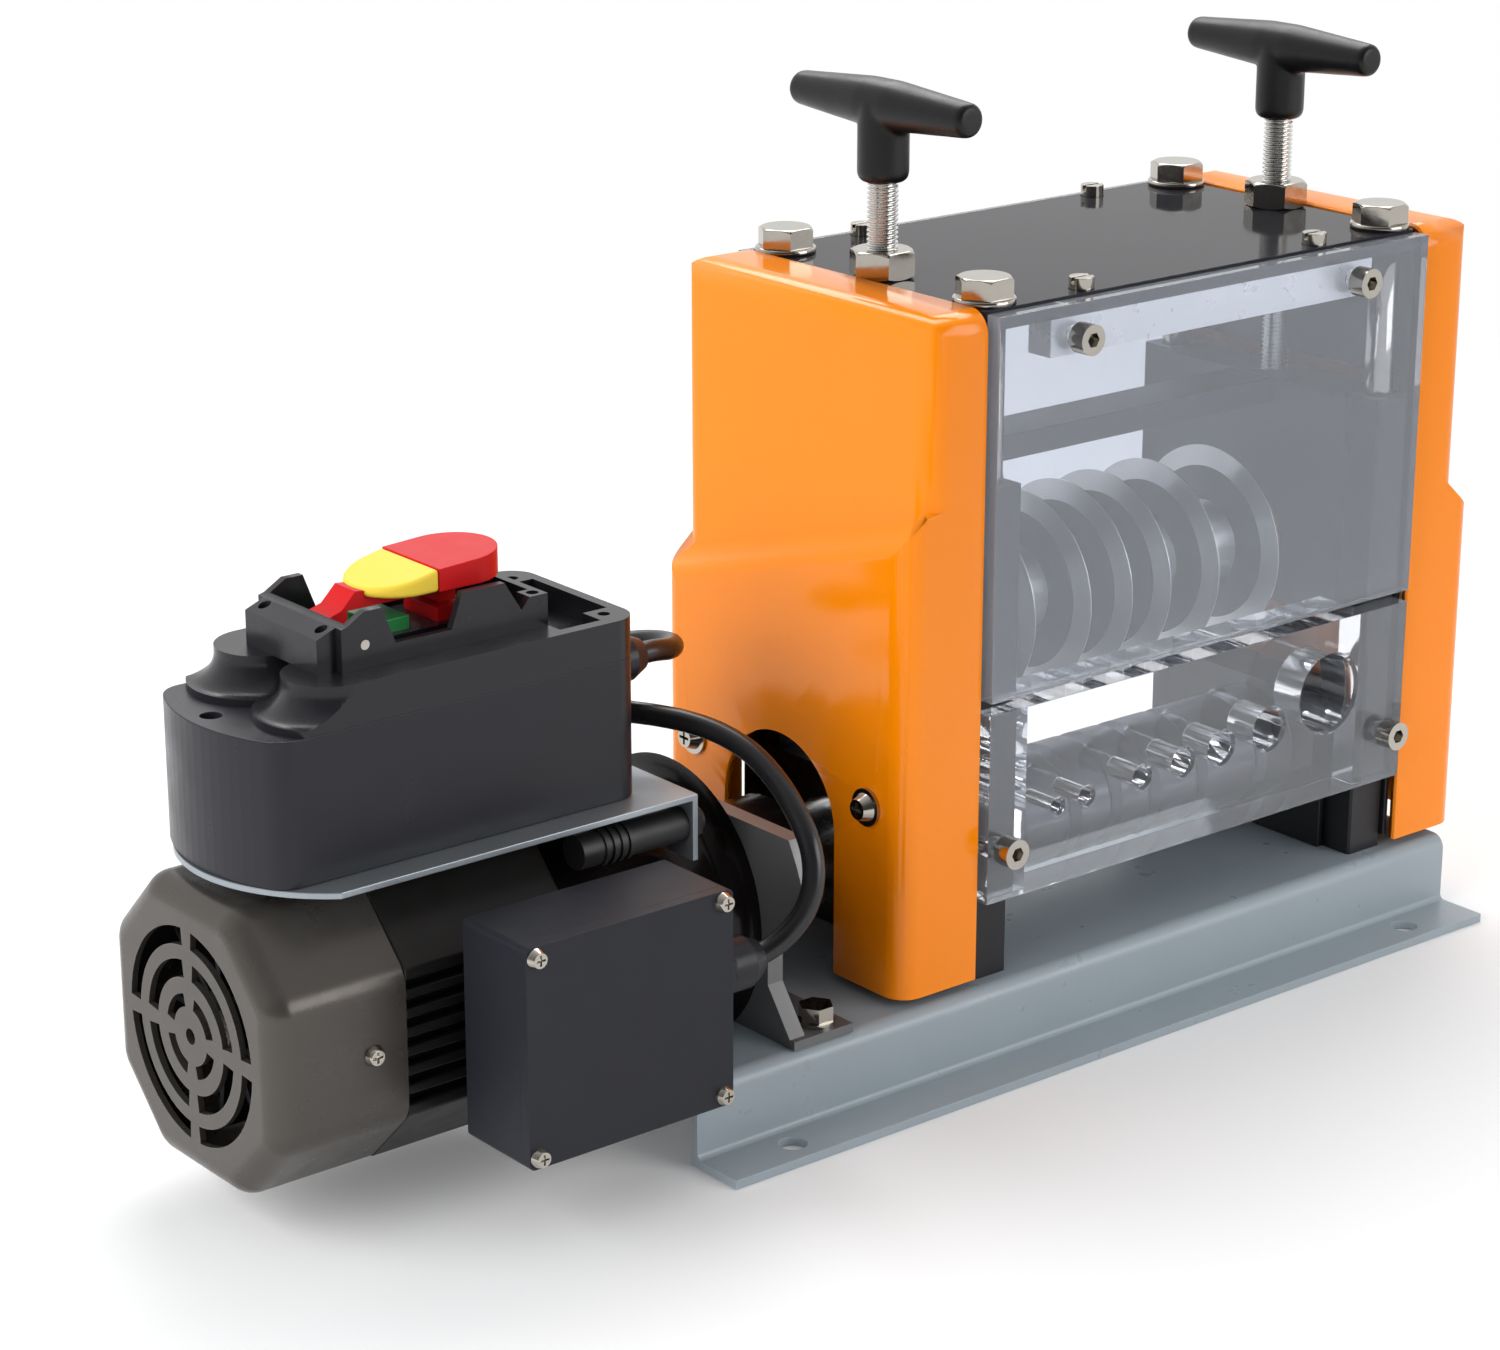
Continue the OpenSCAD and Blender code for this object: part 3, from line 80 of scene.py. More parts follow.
def make_camera():
    data = bpy.data.cameras.new("camera")
    data.sensor_fit = "HORIZONTAL"
    data.sensor_width = 36.0
    data.lens = 90.6
    data.clip_start, data.clip_end = 0.05, 60.0
    camera = bpy.data.objects.new("camera", data)
    SCENE.collection.objects.link(camera)
    camera.location = (-0.8172, -0.8869, 0.5083)
    camera.rotation_mode = "QUATERNION"
    camera.rotation_quaternion = (-direction(-39.08, 18.46)).to_track_quat("-Z", "Y")
    SCENE.camera = camera


make_camera()


# Finishes


def srgb(r, g, b):
    """Linear colour of a written 0 to 255 colour."""
    def channel(v):
        v /= 255.0
        return v / 12.92 if v <= 0.04045 else ((v + 0.055) / 1.055) ** 2.4
    return (channel(r), channel(g), channel(b), 1.0)


def scaled(colour, k):
    return tuple(min(1.0, c * k) for c in colour[:3]) + (1.0,)


class Finish:
    """A new material with a Principled shader, and short calls for the nodes that finishes share."""

    def __init__(self, name):
        self.material = bpy.data.materials.new(name)
        self.material.use_nodes = True
        self.tree = self.material.node_tree
        self.shader = self.tree.nodes["Principled BSDF"]
        place = self.tree.nodes.new("ShaderNodeTexCoord")
        self.coords, self.normal = place.outputs["Object"], place.outputs["Normal"]

    def node(self, kind, **inputs):
        made = self.tree.nodes.new(kind)
        for key, value in inputs.items():
            made.inputs[key.replace("_", " ")].default_value = value
        return made

    def link(self, a, b):
        self.tree.links.new(a, b)

    def stretched(self, scale):
        """Object coordinates scaled by axis, for brushed and turned surfaces."""
        mapping = self.node("ShaderNodeMapping", Scale=scale)
        self.link(self.coords, mapping.inputs["Vector"])
        return mapping.outputs["Vector"]

    def noise(self, scale, detail=3.0, rough=0.55, vector=None):
        made = self.node("ShaderNodeTexNoise", Scale=scale, Detail=detail, Roughness=rough)
        self.link(vector or self.coords, made.inputs["Vector"])
        return made.outputs["Fac"]

    def between(self, value, low, high, out_low, out_high):
        """A value's stretch low to high mapped on to another stretch."""
        made = self.tree.nodes.new("ShaderNodeMapRange")
        for key, v in zip(("From Min", "From Max", "To Min", "To Max"), (low, high, out_low, out_high)):
            made.inputs[key].default_value = v
        self.link(value, made.inputs["Value"])
        return made.outputs["Result"]

    def mix(self, factor, a, b):
        """Colour a where the factor is 0 and b where it is 1; a may be a socket."""
        made = self.tree.nodes.new("ShaderNodeMix")
        made.data_type = "RGBA"
        self.link(factor, made.inputs["Factor"])
        for key, v in (("A", a), ("B", b)):
            socket = [s for s in made.inputs if s.name == key and s.type == "RGBA"][0]
            if isinstance(v, bpy.types.NodeSocket):
                self.link(v, socket)
            else:
                socket.default_value = v
        return [s for s in made.outputs if s.type == "RGBA"][0]

    def bump(self, height, strength, depth):
        made = self.node("ShaderNodeBump", Strength=strength, Distance=depth)
        self.link(height, made.inputs["Height"])
        self.link(made.outputs["Normal"], self.shader.inputs["Normal"])
        return made

    def edges(self, radius):
        """1 along edges that stand out or in, 0 on open faces."""
        rounded = self.node("ShaderNodeBevel", Radius=radius)
        rounded.samples = 4
        plain = self.tree.nodes.new("ShaderNodeNewGeometry")
        dot = self.tree.nodes.new("ShaderNodeVectorMath")
        dot.operation = "DOT_PRODUCT"
        self.link(rounded.outputs["Normal"], dot.inputs[0])
        self.link(plain.outputs["Normal"], dot.inputs[1])
        return self.between(dot.outputs["Value"], 0.99, 0.85, 0.0, 1.0)

    def set(self, **sockets):
        for key, value in sockets.items():
            self.shader.inputs[key.replace("_", " ")].default_value = value
        return self


def coated(name, colour, rough, *, metal=0.0, vary=0.06, cloud=25.0, rough_spread=0.05, smear=90.0,
           grain=0.0, grain_scale=900.0, grain_depth=0.0002, wear=None, wear_radius=0.0008, **sockets):
    """A finish with clouded colour, uneven gloss, a fine surface grain and worn edges."""
    f = Finish(name)
    tone = f.mix(f.noise(cloud), scaled(colour, 1.0 - vary), scaled(colour, 1.0 + vary))
    if wear:
        worn = f.tree.nodes.new("ShaderNodeMath")
        worn.operation = "MULTIPLY"
        f.link(f.edges(wear_radius), worn.inputs[0])
        f.link(f.between(f.noise(160.0), 0.45, 0.75, 0.0, 0.6), worn.inputs[1])
        tone = f.mix(worn.outputs["Value"], tone, wear)
    f.link(tone, f.shader.inputs["Base Color"])
    low, high = max(0.02, rough - rough_spread), rough + rough_spread
    f.link(f.between(f.noise(smear), 0.3, 0.7, low, high), f.shader.inputs["Roughness"])
    if grain:
        f.bump(f.noise(grain_scale, detail=2.0), grain, grain_depth)
    f.set(Metallic=metal, **sockets)
    return f.material


def brushed(name, colour, rough, stretch, *, depth=0.00002, strength=0.06, metal=1.0, **sockets):
    """Bare metal with fine lines across the stretched axes and a smeared gloss."""
    f = Finish(name)
    lines = f.noise(1.0, detail=4.0, rough=0.7, vector=f.stretched(stretch))
    tone = f.mix(lines, scaled(colour, 0.86), scaled(colour, 1.08))
    f.link(tone, f.shader.inputs["Base Color"])
    f.link(f.between(f.noise(140.0), 0.3, 0.7, rough - 0.05, rough + 0.07), f.shader.inputs["Roughness"])
    f.bump(lines, strength, depth)
    f.set(Metallic=metal, **sockets)
    return f.material


def turned(name, colour, side, rough, height):
    """Metal turned about an axis along X at this height: rings, a gloss stretched across them, duller sides."""
    f = Finish(name)
    facing = f.tree.nodes.new("ShaderNodeSeparateXYZ")
    f.link(f.normal, facing.inputs[0])
    level = f.tree.nodes.new("ShaderNodeMath")
    level.operation = "ABSOLUTE"
    f.link(facing.outputs["X"], level.inputs[0])
    ground_edge, flat_side = 0.986, 0.997
    sides = f.between(level.outputs["Value"], ground_edge, flat_side, 0.0, 1.0)
    place = f.node("ShaderNodeMapping", Location=(0.0, 0.0, -height))
    f.link(f.coords, place.inputs["Vector"])
    rings = f.node("ShaderNodeTexWave", Scale=260.0, Distortion=1.5, Detail=2.0)
    rings.wave_type = "RINGS"
    rings.rings_direction = "X"
    f.link(place.outputs["Vector"], rings.inputs["Vector"])
    rim = f.mix(rings.outputs["Fac"], scaled(colour, 0.95), scaled(colour, 1.03))
    flank = f.mix(rings.outputs["Fac"], scaled(side, 0.85), scaled(side, 1.15))
    f.link(f.mix(sides, rim, flank), f.shader.inputs["Base Color"])
    f.link(f.between(f.noise(90.0), 0.3, 0.7, rough - 0.05, rough + 0.06), f.shader.inputs["Roughness"])
    f.bump(rings.outputs["Fac"], 0.02, 0.00002)
    around = f.tree.nodes.new("ShaderNodeTangent")
    around.direction_type, around.axis = "RADIAL", "X"
    f.link(around.outputs["Tangent"], f.shader.inputs["Tangent"])
    f.set(Metallic=1.0, Anisotropic=0.9, Anisotropic_Rotation=0.25)
    return f.material


def clear_plastic(name, colour, haze):
    """Clear acrylic with a milky haze, wipe marks, hairline scratches and a painted blue tint on its reflections."""
    f = Finish(name)
    smears = f.noise(9.0, detail=5.0, rough=0.6)
    scratches = f.noise(1.0, detail=2.0, vector=f.stretched((30.0, 30.0, 900.0)))
    f.link(f.mix(smears, scaled(colour, 0.94), scaled(colour, 1.03)), f.shader.inputs["Base Color"])
    f.link(f.between(smears, 0.35, 0.75, 0.0, 0.03), f.shader.inputs["Roughness"])
    f.bump(scratches, 0.01, 0.00003)
    # The blue specular tint is a painted reflection of a bluish room, not a colour of the acrylic itself.
    f.set(IOR=1.49, Transmission_Weight=1.0 - haze, Specular_Tint=(0.9, 0.95, 1.0, 1.0))
    return f.material


PAINT = {
    "base_paint": coated("base_paint", srgb(152, 163, 170), 0.32, vary=0.04, grain=0.1, grain_scale=700.0,
                         wear=srgb(186, 193, 197)),
    "post_black": coated("post_black", srgb(30, 30, 33), 0.42, metal=0.3, grain=0.1),
    "plate_gloss": coated("plate_gloss", srgb(44, 44, 48), 0.07, vary=0.08, rough_spread=0.03, grain=0.015,
                          grain_scale=300.0, wear=srgb(130, 130, 134), Specular_IOR_Level=0.05),
    "zinc": coated("zinc", srgb(178, 173, 164), 0.12, metal=1.0, vary=0.08, cloud=120.0, smear=260.0,
                   grain=0.04, grain_scale=600.0),
    "bar_alloy": brushed("bar_alloy", srgb(250, 250, 250), 0.3, (6.0, 1500.0, 1500.0), metal=0.4),
    "cover_orange": coated("cover_orange", srgb(255, 139, 2), 0.15, vary=0.02, rough_spread=0.04, grain=0.03,
                           grain_scale=420.0, grain_depth=0.0002, wear=srgb(255, 172, 84), Specular_IOR_Level=0.35),
    "block_iron": coated("block_iron", srgb(56, 57, 61), 0.44, metal=0.6, grain=0.12),
    "bush_bronze": brushed("bush_bronze", srgb(176, 136, 78), 0.3, (1500.0, 40.0, 40.0)),
    "shaft_steel": brushed("shaft_steel", srgb(196, 195, 192), 0.24, (1400.0, 30.0, 30.0)),
    "blade_steel": turned("blade_steel", srgb(206, 206, 206), srgb(60, 61, 66), 0.42,
                          sum(c.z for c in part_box("round_blades")) / 2),
    "roller_steel": turned("roller_steel", srgb(84, 85, 90), srgb(70, 71, 75), 0.36,
                           sum(c.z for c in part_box("feed_roller")) / 2),
    "thread_steel": coated("thread_steel", srgb(214, 213, 210), 0.18, metal=1.0, vary=0.06, cloud=200.0, grain=0.03),
    "handle_black": coated("handle_black", srgb(17, 17, 19), 0.36, vary=0.1, grain=0.2, grain_scale=1500.0,
                           grain_depth=0.0001, Specular_IOR_Level=0.3),
    "bracket_grey": coated("bracket_grey", srgb(112, 112, 113), 0.4, metal=0.5, vary=0.05, grain=0.1),
    "gear_grey": coated("gear_grey", srgb(27, 24, 23), 0.24, metal=0.4, grain=0.08, grain_scale=800.0,
                        Coat_Weight=0.1, Coat_Roughness=0.1, Specular_IOR_Level=0.25),
    "motor_black": coated("motor_black", srgb(36, 34, 33), 0.34, metal=0.4, grain=0.1, Specular_IOR_Level=0.3),
    "fan_cover_bronze": coated("fan_cover_bronze", srgb(82, 78, 74), 0.3, metal=0.55, vary=0.05, grain=0.1,
                               grain_scale=1000.0, wear=srgb(146, 141, 134), Specular_IOR_Level=0.4),
    "fan_plastic": coated("fan_plastic", srgb(26, 26, 27), 0.5, grain=0.1),
    "box_black": coated("box_black", srgb(36, 36, 42), 0.32, vary=0.06, grain=0.1, grain_scale=1500.0,
                        grain_depth=0.00008, Specular_IOR_Level=0.28),
    "lid_black": coated("lid_black", srgb(30, 30, 34), 0.24, vary=0.06, grain=0.05, grain_scale=1500.0,
                        grain_depth=0.00008, Specular_IOR_Level=0.35),
    "junction_black": coated("junction_black", srgb(36, 37, 43), 0.42, vary=0.07, grain=0.18, grain_scale=1700.0,
                             grain_depth=0.00008, Specular_IOR_Level=0.22),
    "tray_zinc": coated("tray_zinc", srgb(160, 167, 173), 0.34, metal=0.8, vary=0.07, cloud=60.0, grain=0.06),
    "paddle_red": coated("paddle_red", srgb(200, 22, 26), 0.42, vary=0.04, grain=0.06, grain_scale=1200.0,
                         Specular_IOR_Level=0.15),
    "paddle_yellow": coated("paddle_yellow", srgb(236, 204, 70), 0.42, vary=0.03, grain=0.06, grain_scale=1200.0,
                            Specular_IOR_Level=0.15),
    "button_green": coated("button_green", srgb(38, 130, 66), 0.34, vary=0.04, grain=0.06),
    "lead_rubber": coated("lead_rubber", srgb(26, 26, 28), 0.3, vary=0.1, grain=0.08, grain_scale=1600.0),
    "clear_acrylic": clear_plastic("clear_acrylic", srgb(240, 244, 252), 0.1),
    "guide_acrylic": clear_plastic("guide_acrylic", srgb(244, 247, 253), 0.06),
}

NODE_FINISH = {
    "base_paint": "base_channel",
    "post_black": "corner_posts side_plates lower_bearing_blocks",
    "plate_gloss": "top_plate",
    "zinc": "plate_bolts bar_studs panel_screws guide_screws cover_screws cover_standoffs lock_nuts bracket_bolts "
            "fan_cover_screws junction_screws shaft_collars tray_spacers paddle_pin left_screw right_screw",
    "bar_alloy": "panel_bars",
    "cover_orange": "left_cover right_cover",
    "block_iron": "upper_bearing_blocks tie_bar",
    "bush_bronze": "lower_bushes upper_bushes",
    "shaft_steel": "rotor_shaft output_shaft shaft_coupling lower_shaft upper_shaft",
    "blade_steel": "round_blades blade_spacers",
    "roller_steel": "feed_roller",
    "handle_black": "left_handle right_handle",
    "bracket_grey": "motor_bracket",
    "gear_grey": "gear_head",
    "motor_black": "motor_housing",
    "fan_cover_bronze": "fan_cover",
    "fan_plastic": "motor_fan fuse_holder",
    "box_black": "switch_box switch_glands junction_gland",
    "lid_black": "switch_lid switch_bezel switch_block",
    "junction_black": "junction_box junction_lid",
    "tray_zinc": "switch_tray",
    "paddle_red": "emergency_paddle stop_button",
    "paddle_yellow": "paddle_boss",
    "button_green": "start_button",
    "lead_rubber": "motor_lead",
    "clear_acrylic": "front_panel rear_panel",
    "guide_acrylic": "guide_block",
}


def paint(obj, finish):
    obj.data.materials.clear()
    obj.data.materials.append(PAINT[finish])


def dress_nodes():
    for finish, names in NODE_FINISH.items():
        for name in names.split():
            paint(NODES[name], finish)


dress_nodes()


# Edges of the solids

EDGE_MM = {
    1.0: "base_channel junction_lid junction_box switch_box",
    0.7: "switch_lid switch_bezel motor_housing gear_head",
    0.6: "corner_posts tie_bar lower_bearing_blocks upper_bearing_blocks motor_bracket",
    0.5: "top_plate panel_bars switch_tray front_panel rear_panel side_plates",
    0.4: "guide_block cover_standoffs bracket_bolts panel_screws guide_screws cover_screws bar_studs",
    0.25: "junction_screws fan_cover_screws start_button stop_button",
    1.6: "emergency_paddle paddle_boss",
}


def soften(obj, width):
    """Rounds a solid's sharp edges, with modifiers alone."""
    weld = obj.modifiers.new("weld", "WELD")
    weld.merge_threshold = 1e-6
    flat = obj.modifiers.new("flat", "DECIMATE")
    flat.decimate_type = "DISSOLVE"
    flat.angle_limit = math.radians(0.4)
    round_off = obj.modifiers.new("round", "BEVEL")
    round_off.width = width
    round_off.segments = 3
    round_off.limit_method = "ANGLE"
    round_off.angle_limit = math.radians(34)
    round_off.use_clamp_overlap = True
    even_out(obj)


def even_out(obj):
    """Shades rounded edges smoothly into the wide faces beside them."""
    even = obj.modifiers.new("even", "WEIGHTED_NORMAL")
    even.mode = "FACE_AREA"
    even.weight = 80
    even.keep_sharp = False


def blend(obj):
    """Smooth shading alone, for solids whose rounded edges are modelled."""
    weld = obj.modifiers.new("weld", "WELD")
    weld.merge_threshold = 1e-6
    even_out(obj)


def soften_nodes():
    for width, names in EDGE_MM.items():
        for name in names.split():
            soften(NODES[name], width * MM)
    for name in ("left_cover", "right_cover"):
        blend(NODES[name])
    for name in ("front_panel", "rear_panel", "guide_block"):
        shrink = NODES[name].modifiers.new("air", "DISPLACE")
        shrink.mid_level = 0.0
        shrink.strength = -0.06 * MM


soften_nodes()


# Pieces that stand for CAD nodes


def new_object(name, vertices, faces, finish, smooth=True):
    mesh = bpy.data.meshes.new(name)
    mesh.from_pydata([tuple(v) for v in vertices], [], faces)
    mesh.validate()
    mesh.polygons.foreach_set("use_smooth", [smooth] * len(mesh.polygons))
    obj = bpy.data.objects.new(name, mesh)
    SCENE.collection.objects.link(obj)
    paint(obj, finish)
    return obj


def from_mesh(name, mesh, finish):
    """A smooth object of a mesh made elsewhere."""
    mesh.name = name
    mesh.polygons.foreach_set("use_smooth", [True] * len(mesh.polygons))
    obj = bpy.data.objects.new(name, mesh)
    SCENE.collection.objects.link(obj)
    paint(obj, finish)
    return obj


def solid_of(obj):
    """The object's shape after its modifiers, as a mesh of its own; the object goes."""
    mesh = bpy.data.meshes.new_from_object(obj.evaluated_get(bpy.context.evaluated_depsgraph_get()))
    bpy.data.objects.remove(obj)
    return mesh


def facing_out(obj):
    """Turns all the faces of a closed mesh outwards."""
    work = bmesh.new()
    work.from_mesh(obj.data)
    bmesh.ops.recalc_face_normals(work, faces=work.faces)
    work.to_mesh(obj.data)
    work.free()


def stand_in(obj, node):
    """The piece takes a node's place and moves with its body."""
    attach(obj, next(b for b, names in frame["record"]["behaviour"]["bodies"].items() if node in names))
    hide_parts(node)


def lathe(profile, place, segments=48):
    """Vertices and faces of a closed turned shape: (radius, height) pairs from axis to axis, about Z through place."""
    vertices, faces, rings = [], [], []
    for radius, height in profile:
        if radius < 1e-9:
            rings.append([len(vertices)])
            vertices.append(Vector(place) + Vector((0.0, 0.0, height)))
            continue
        rings.append(list(range(len(vertices), len(vertices) + segments)))
        for i in range(segments):
            a = 2 * math.pi * i / segments
            vertices.append(Vector(place) + Vector((radius * math.cos(a), radius * math.sin(a), height)))
    for low, high in zip(rings, rings[1:]):
        for i in range(segments):
            corners = [low[i % len(low)], low[(i + 1) % len(low)], high[(i + 1) % len(high)], high[i % len(high)]]
            faces.append(tuple(dict.fromkeys(corners)))
    return vertices, faces


class Parts:
    """Collects several closed shapes into one mesh, each face flat or smooth."""

    def __init__(self):
        self.vertices, self.faces, self.smooth = [], [], []

    def add(self, vertices, faces, smooth=True):
        first = len(self.vertices)
        self.vertices += [tuple(q) for q in vertices]
        self.faces += [tuple(i + first for i in face) for face in faces]
        self.smooth += smooth if isinstance(smooth, list) else [smooth] * len(faces)

    def build(self, name, finish):
        obj = new_object(name, self.vertices, self.faces, finish)
        obj.data.polygons.foreach_set("use_smooth", self.smooth)
        return obj


def hexagon(across, height, place, bore=0.0, both=False):
    """Hexagon head or nut, its corners turned off by a 30 degree cone at the top and perhaps at the foot."""
    steps = 16
    count = 6 * steps
    flat = across / 2
    crown = flat * 0.96
    fall = math.tan(math.radians(30))

    def reach(i):
        return flat / math.cos(math.radians(60.0 * (i % steps) / steps - 30.0))

    def ring(radius, level):
        made = []
        for i in range(count):
            a = 2 * math.pi * i / count
            r, z = radius(i), level(i)
            made.append(Vector(place) + Vector((r * math.cos(a), r * math.sin(a), z)))
        return made

    def drop(i):
        return (reach(i) - crown) * fall

    inner = max(bore, 1e-5)
    rings = [ring(lambda i: inner, lambda i: 0.0)]
    if both:
        rings += [ring(lambda i: crown, lambda i: 0.0), ring(reach, drop)]
    else:
        rings += [ring(reach, lambda i: 0.0)]
    rings += [ring(reach, lambda i: height - drop(i)), ring(lambda i: crown, lambda i: height),
              ring(lambda i: inner, lambda i: height)]
    closed = rings + [rings[0]] if bore else rings
    vertices = [q for r in rings for q in r]
    faces, smooth = [], []
    for k in range(len(closed) - 1):
        low, high = k * count, ((k + 1) % len(rings)) * count
        cone = (both and k == 1) or k == len(rings) - 3
        for i in range(count):
            j = (i + 1) % count
            faces.append((low + i, low + j, high + j, high + i))
            smooth.append(cone or (bool(bore) and k == len(rings) - 1))
    return vertices, faces, smooth


def washer(radius, bore, height, place):
    edge = 0.3 * MM
    return lathe([(bore, 0.0), (radius - edge, 0.0), (radius, edge), (radius, height - edge), (radius - edge, height),
                  (bore, height), (bore, 0.0)], place)


def thread(radius, depth, pitch, low, high, x, y):
    """Rod along Z with a sharp helical thread, and a short cone at its foot."""
    around, along = 40, 10
    rows = int((high - low) / pitch * along)
    vertices, faces = [], []
    for k in range(rows + 1):
        z = low + (high - low) * k / rows
        taper = min(1.0, 0.75 + 0.25 * (z - low) / pitch)
        for i in range(around):
            phase = (z / pitch - i / around) % 1.0
            ridge = max(0.0, min(1.0, 1.6 * (1.0 - abs(2.0 * phase - 1.0)) - 0.2))
            r = (radius - depth * (1.0 - ridge)) * taper
            a = 2 * math.pi * i / around
            vertices.append((x + r * math.cos(a), y + r * math.sin(a), z))
    for k in range(rows):
        for i in range(around):
            j = (i + 1) % around
            faces.append((k * around + i, k * around + j, (k + 1) * around + j, (k + 1) * around + i))
    faces.append(tuple(reversed(range(around))))
    faces.append(tuple(rows * around + i for i in range(around)))
    return vertices, faces


PLATE_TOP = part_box("top_plate")[1].z
SCREW_X = {side: sum(c.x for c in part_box(f"{side}_screw")) / 2 for side in ("left", "right")}
BOLT_LOW, BOLT_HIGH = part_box("plate_bolts")


def make_plate_bolts():
    """Four hexagon bolts with washers, whose shanks carry the top plate."""
    washer_r, washer_t, shank_r, tip = 10.0 * MM, 2.0 * MM, 5.0 * MM, 0.8 * MM
    head_across, head_h = 16.5 * MM, 6.5 * MM
    shank_top = PLATE_TOP + washer_t + 0.5 * MM
    made = Parts()
    for x in (BOLT_LOW.x + washer_r, BOLT_HIGH.x - washer_r):
        for y in (BOLT_LOW.y + washer_r, BOLT_HIGH.y - washer_r):
            made.add(*washer(washer_r, shank_r, washer_t, (x, y, PLATE_TOP)))
            made.add(*hexagon(head_across, head_h, (x, y, PLATE_TOP + washer_t)))
            made.add(*lathe([(0.0, BOLT_LOW.z), (shank_r - tip, BOLT_LOW.z), (shank_r, BOLT_LOW.z + tip),
                             (shank_r, shank_top), (0.0, shank_top)], (x, y, 0.0)))
    stand_in(made.build("plate_bolts_turned", "zinc"), "plate_bolts")


def make_lock_nuts():
    across, height, bore = 19.0 * MM, 9.0 * MM, 5.05 * MM
    made = Parts()
    for x in SCREW_X.values():
        made.add(*hexagon(across, height, (x, 0.0, PLATE_TOP), bore=bore, both=True))
    stand_in(made.build("lock_nuts_turned", "zinc"), "lock_nuts")


def make_screws():
    """Pressure screws with their thread."""
    radius, depth, pitch = 5.0 * MM, 0.8 * MM, 1.5 * MM
    for side, x in SCREW_X.items():
        low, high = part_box(f"{side}_screw")
        made = Parts()
        made.add(*thread(radius, depth, pitch, low.z, high.z, x, 0.0))
        stand_in(made.build(f"{side}_screw_threaded", "thread_steel"), f"{side}_screw")


def fused(name, vertices, faces, voxel, rounds, finish):
    """One skin over shapes that run into each other, its inner corners smoothed to a fillet."""
    rough = new_object(f"{name}_rough", vertices, faces, finish)
    skin = rough.modifiers.new("skin", "REMESH")
    skin.mode = "VOXEL"
    skin.voxel_size = voxel
    skin.use_smooth_shade = True
    fillet = rough.modifiers.new("fillet", "SMOOTH")
    fillet.factor, fillet.iterations = 0.5, rounds
    return from_mesh(name, solid_of(rough), finish)


def make_handles():
    """T-handles: a bar that tapers from its middle, blended into the hub that holds the screw."""
    bar_z, half = 304.0 * MM, 41.0 * MM
    mid_r, end_r, hub_r, edge = 8.0 * MM, 5.5 * MM, 8.3 * MM, 1.5 * MM
    for side, x in SCREW_X.items():
        hub_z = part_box(f"{side}_handle")[0].z
        shape = Parts()
        bar, faces = lathe([(0.0, -half), (end_r - edge, -half), (end_r - 0.4 * edge, -half + 0.3 * edge),
                            (end_r, -half + edge), (mid_r, -6.0 * MM), (mid_r, 6.0 * MM), (end_r, half - edge),
                            (end_r - 0.4 * edge, half - 0.3 * edge), (end_r - edge, half), (0.0, half)], (0, 0, 0))
        shape.add([(x + q.x, q.z, bar_z - q.y) for q in bar], faces)
        shape.add(*lathe([(0.0, hub_z), (hub_r - 2.0 * MM, hub_z), (hub_r - 0.6 * MM, hub_z + 1.0 * MM),
                          (hub_r, hub_z + 2.6 * MM), (hub_r, bar_z), (0.0, bar_z)], (x, 0.0, 0.0)))
        handle = fused(f"{side}_handle_moulded", shape.vertices, shape.faces, 0.8 * MM, 5, "handle_black")
        stand_in(handle, f"{side}_handle")


FAN_LOW, FAN_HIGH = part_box("fan_cover")
FAN_MIDDLE = (FAN_LOW.z + FAN_HIGH.z) / 2
FAN_HALF = 45.0 * MM
FAN_CORNER = 23.0 * MM
FAN_BEND = 11.0 * MM
FAN_SLOTS_MM = ((28.0, 33.5), (18.0, 23.5), (9.0, 13.0))
SPOKE_HALF_MM = 2.5
HUB_HOLE = 2.5 * MM


def fan_outline(inset):
    """Points in Y and Z of the motor's rounded octagon, moved in by inset."""
    half, bend = FAN_HALF - inset, FAN_BEND - inset
    slant = (2 * FAN_HALF - FAN_CORNER) / math.sqrt(2) - inset
    points = []
    for k in range(8):
        near, far = (half, slant) if k % 2 == 0 else (slant, half)
        a, b = math.radians(45.0 * k), math.radians(45.0 * k + 45.0)
        along = ((far - bend) - (near - bend) * math.cos(b - a)) / math.sin(b - a)
        cy = (near - bend) * math.cos(a) - along * math.sin(a)
        cz = (near - bend) * math.sin(a) + along * math.cos(a)
        for i in range(9):
            c = a + (b - a) * i / 8
            points.append((cy + bend * math.cos(c), FAN_MIDDLE + cz + bend * math.sin(c)))
    return points


def fan_profile():
    """Rings of the cover, as (x, inset) from the middle of its face over the rim to the open end and back inside."""
    rim, wall, edge, steps = 8.0 * MM, 2.0 * MM, 0.4 * MM, 9

    def quarter(radius, offset):
        turns = [math.pi / 2 * i / steps for i in range(steps + 1)]
        return [(FAN_LOW.x + offset + radius * (1 - math.cos(c)), offset + radius * (1 - math.sin(c))) for c in turns]

    mouth = [(FAN_HIGH.x - edge, 0.0), (FAN_HIGH.x, edge), (FAN_HIGH.x, wall)]
    return quarter(rim, 0.0) + mouth + quarter(rim - wall, wall)[::-1]


def ring_sector(inner, outer, start, end, x0, x1):
    """Closed prism along X over a piece of a ring about the fan's axis, angles in degrees."""
    steps = 14
    vertices, faces = [], []
    for x in (x0, x1):
        for i in range(steps + 1):
            a = math.radians(start + (end - start) * i / steps)
            for r in (inner, outer):
                vertices.append((x, r * math.cos(a), FAN_MIDDLE + r * math.sin(a)))
    n = 2 * (steps + 1)
    for i in range(steps):
        p = 2 * i
        faces += [(p, p + 1, p + 3, p + 2), (n + p, n + p + 2, n + p + 3, n + p + 1),
                  (p, p + 2, n + p + 2, n + p), (p + 1, n + p + 1, n + p + 3, p + 3)]
    last = 2 * steps
    faces += [(0, n, n + 1, 1), (last, last + 1, n + last + 1, n + last)]
    return vertices, faces


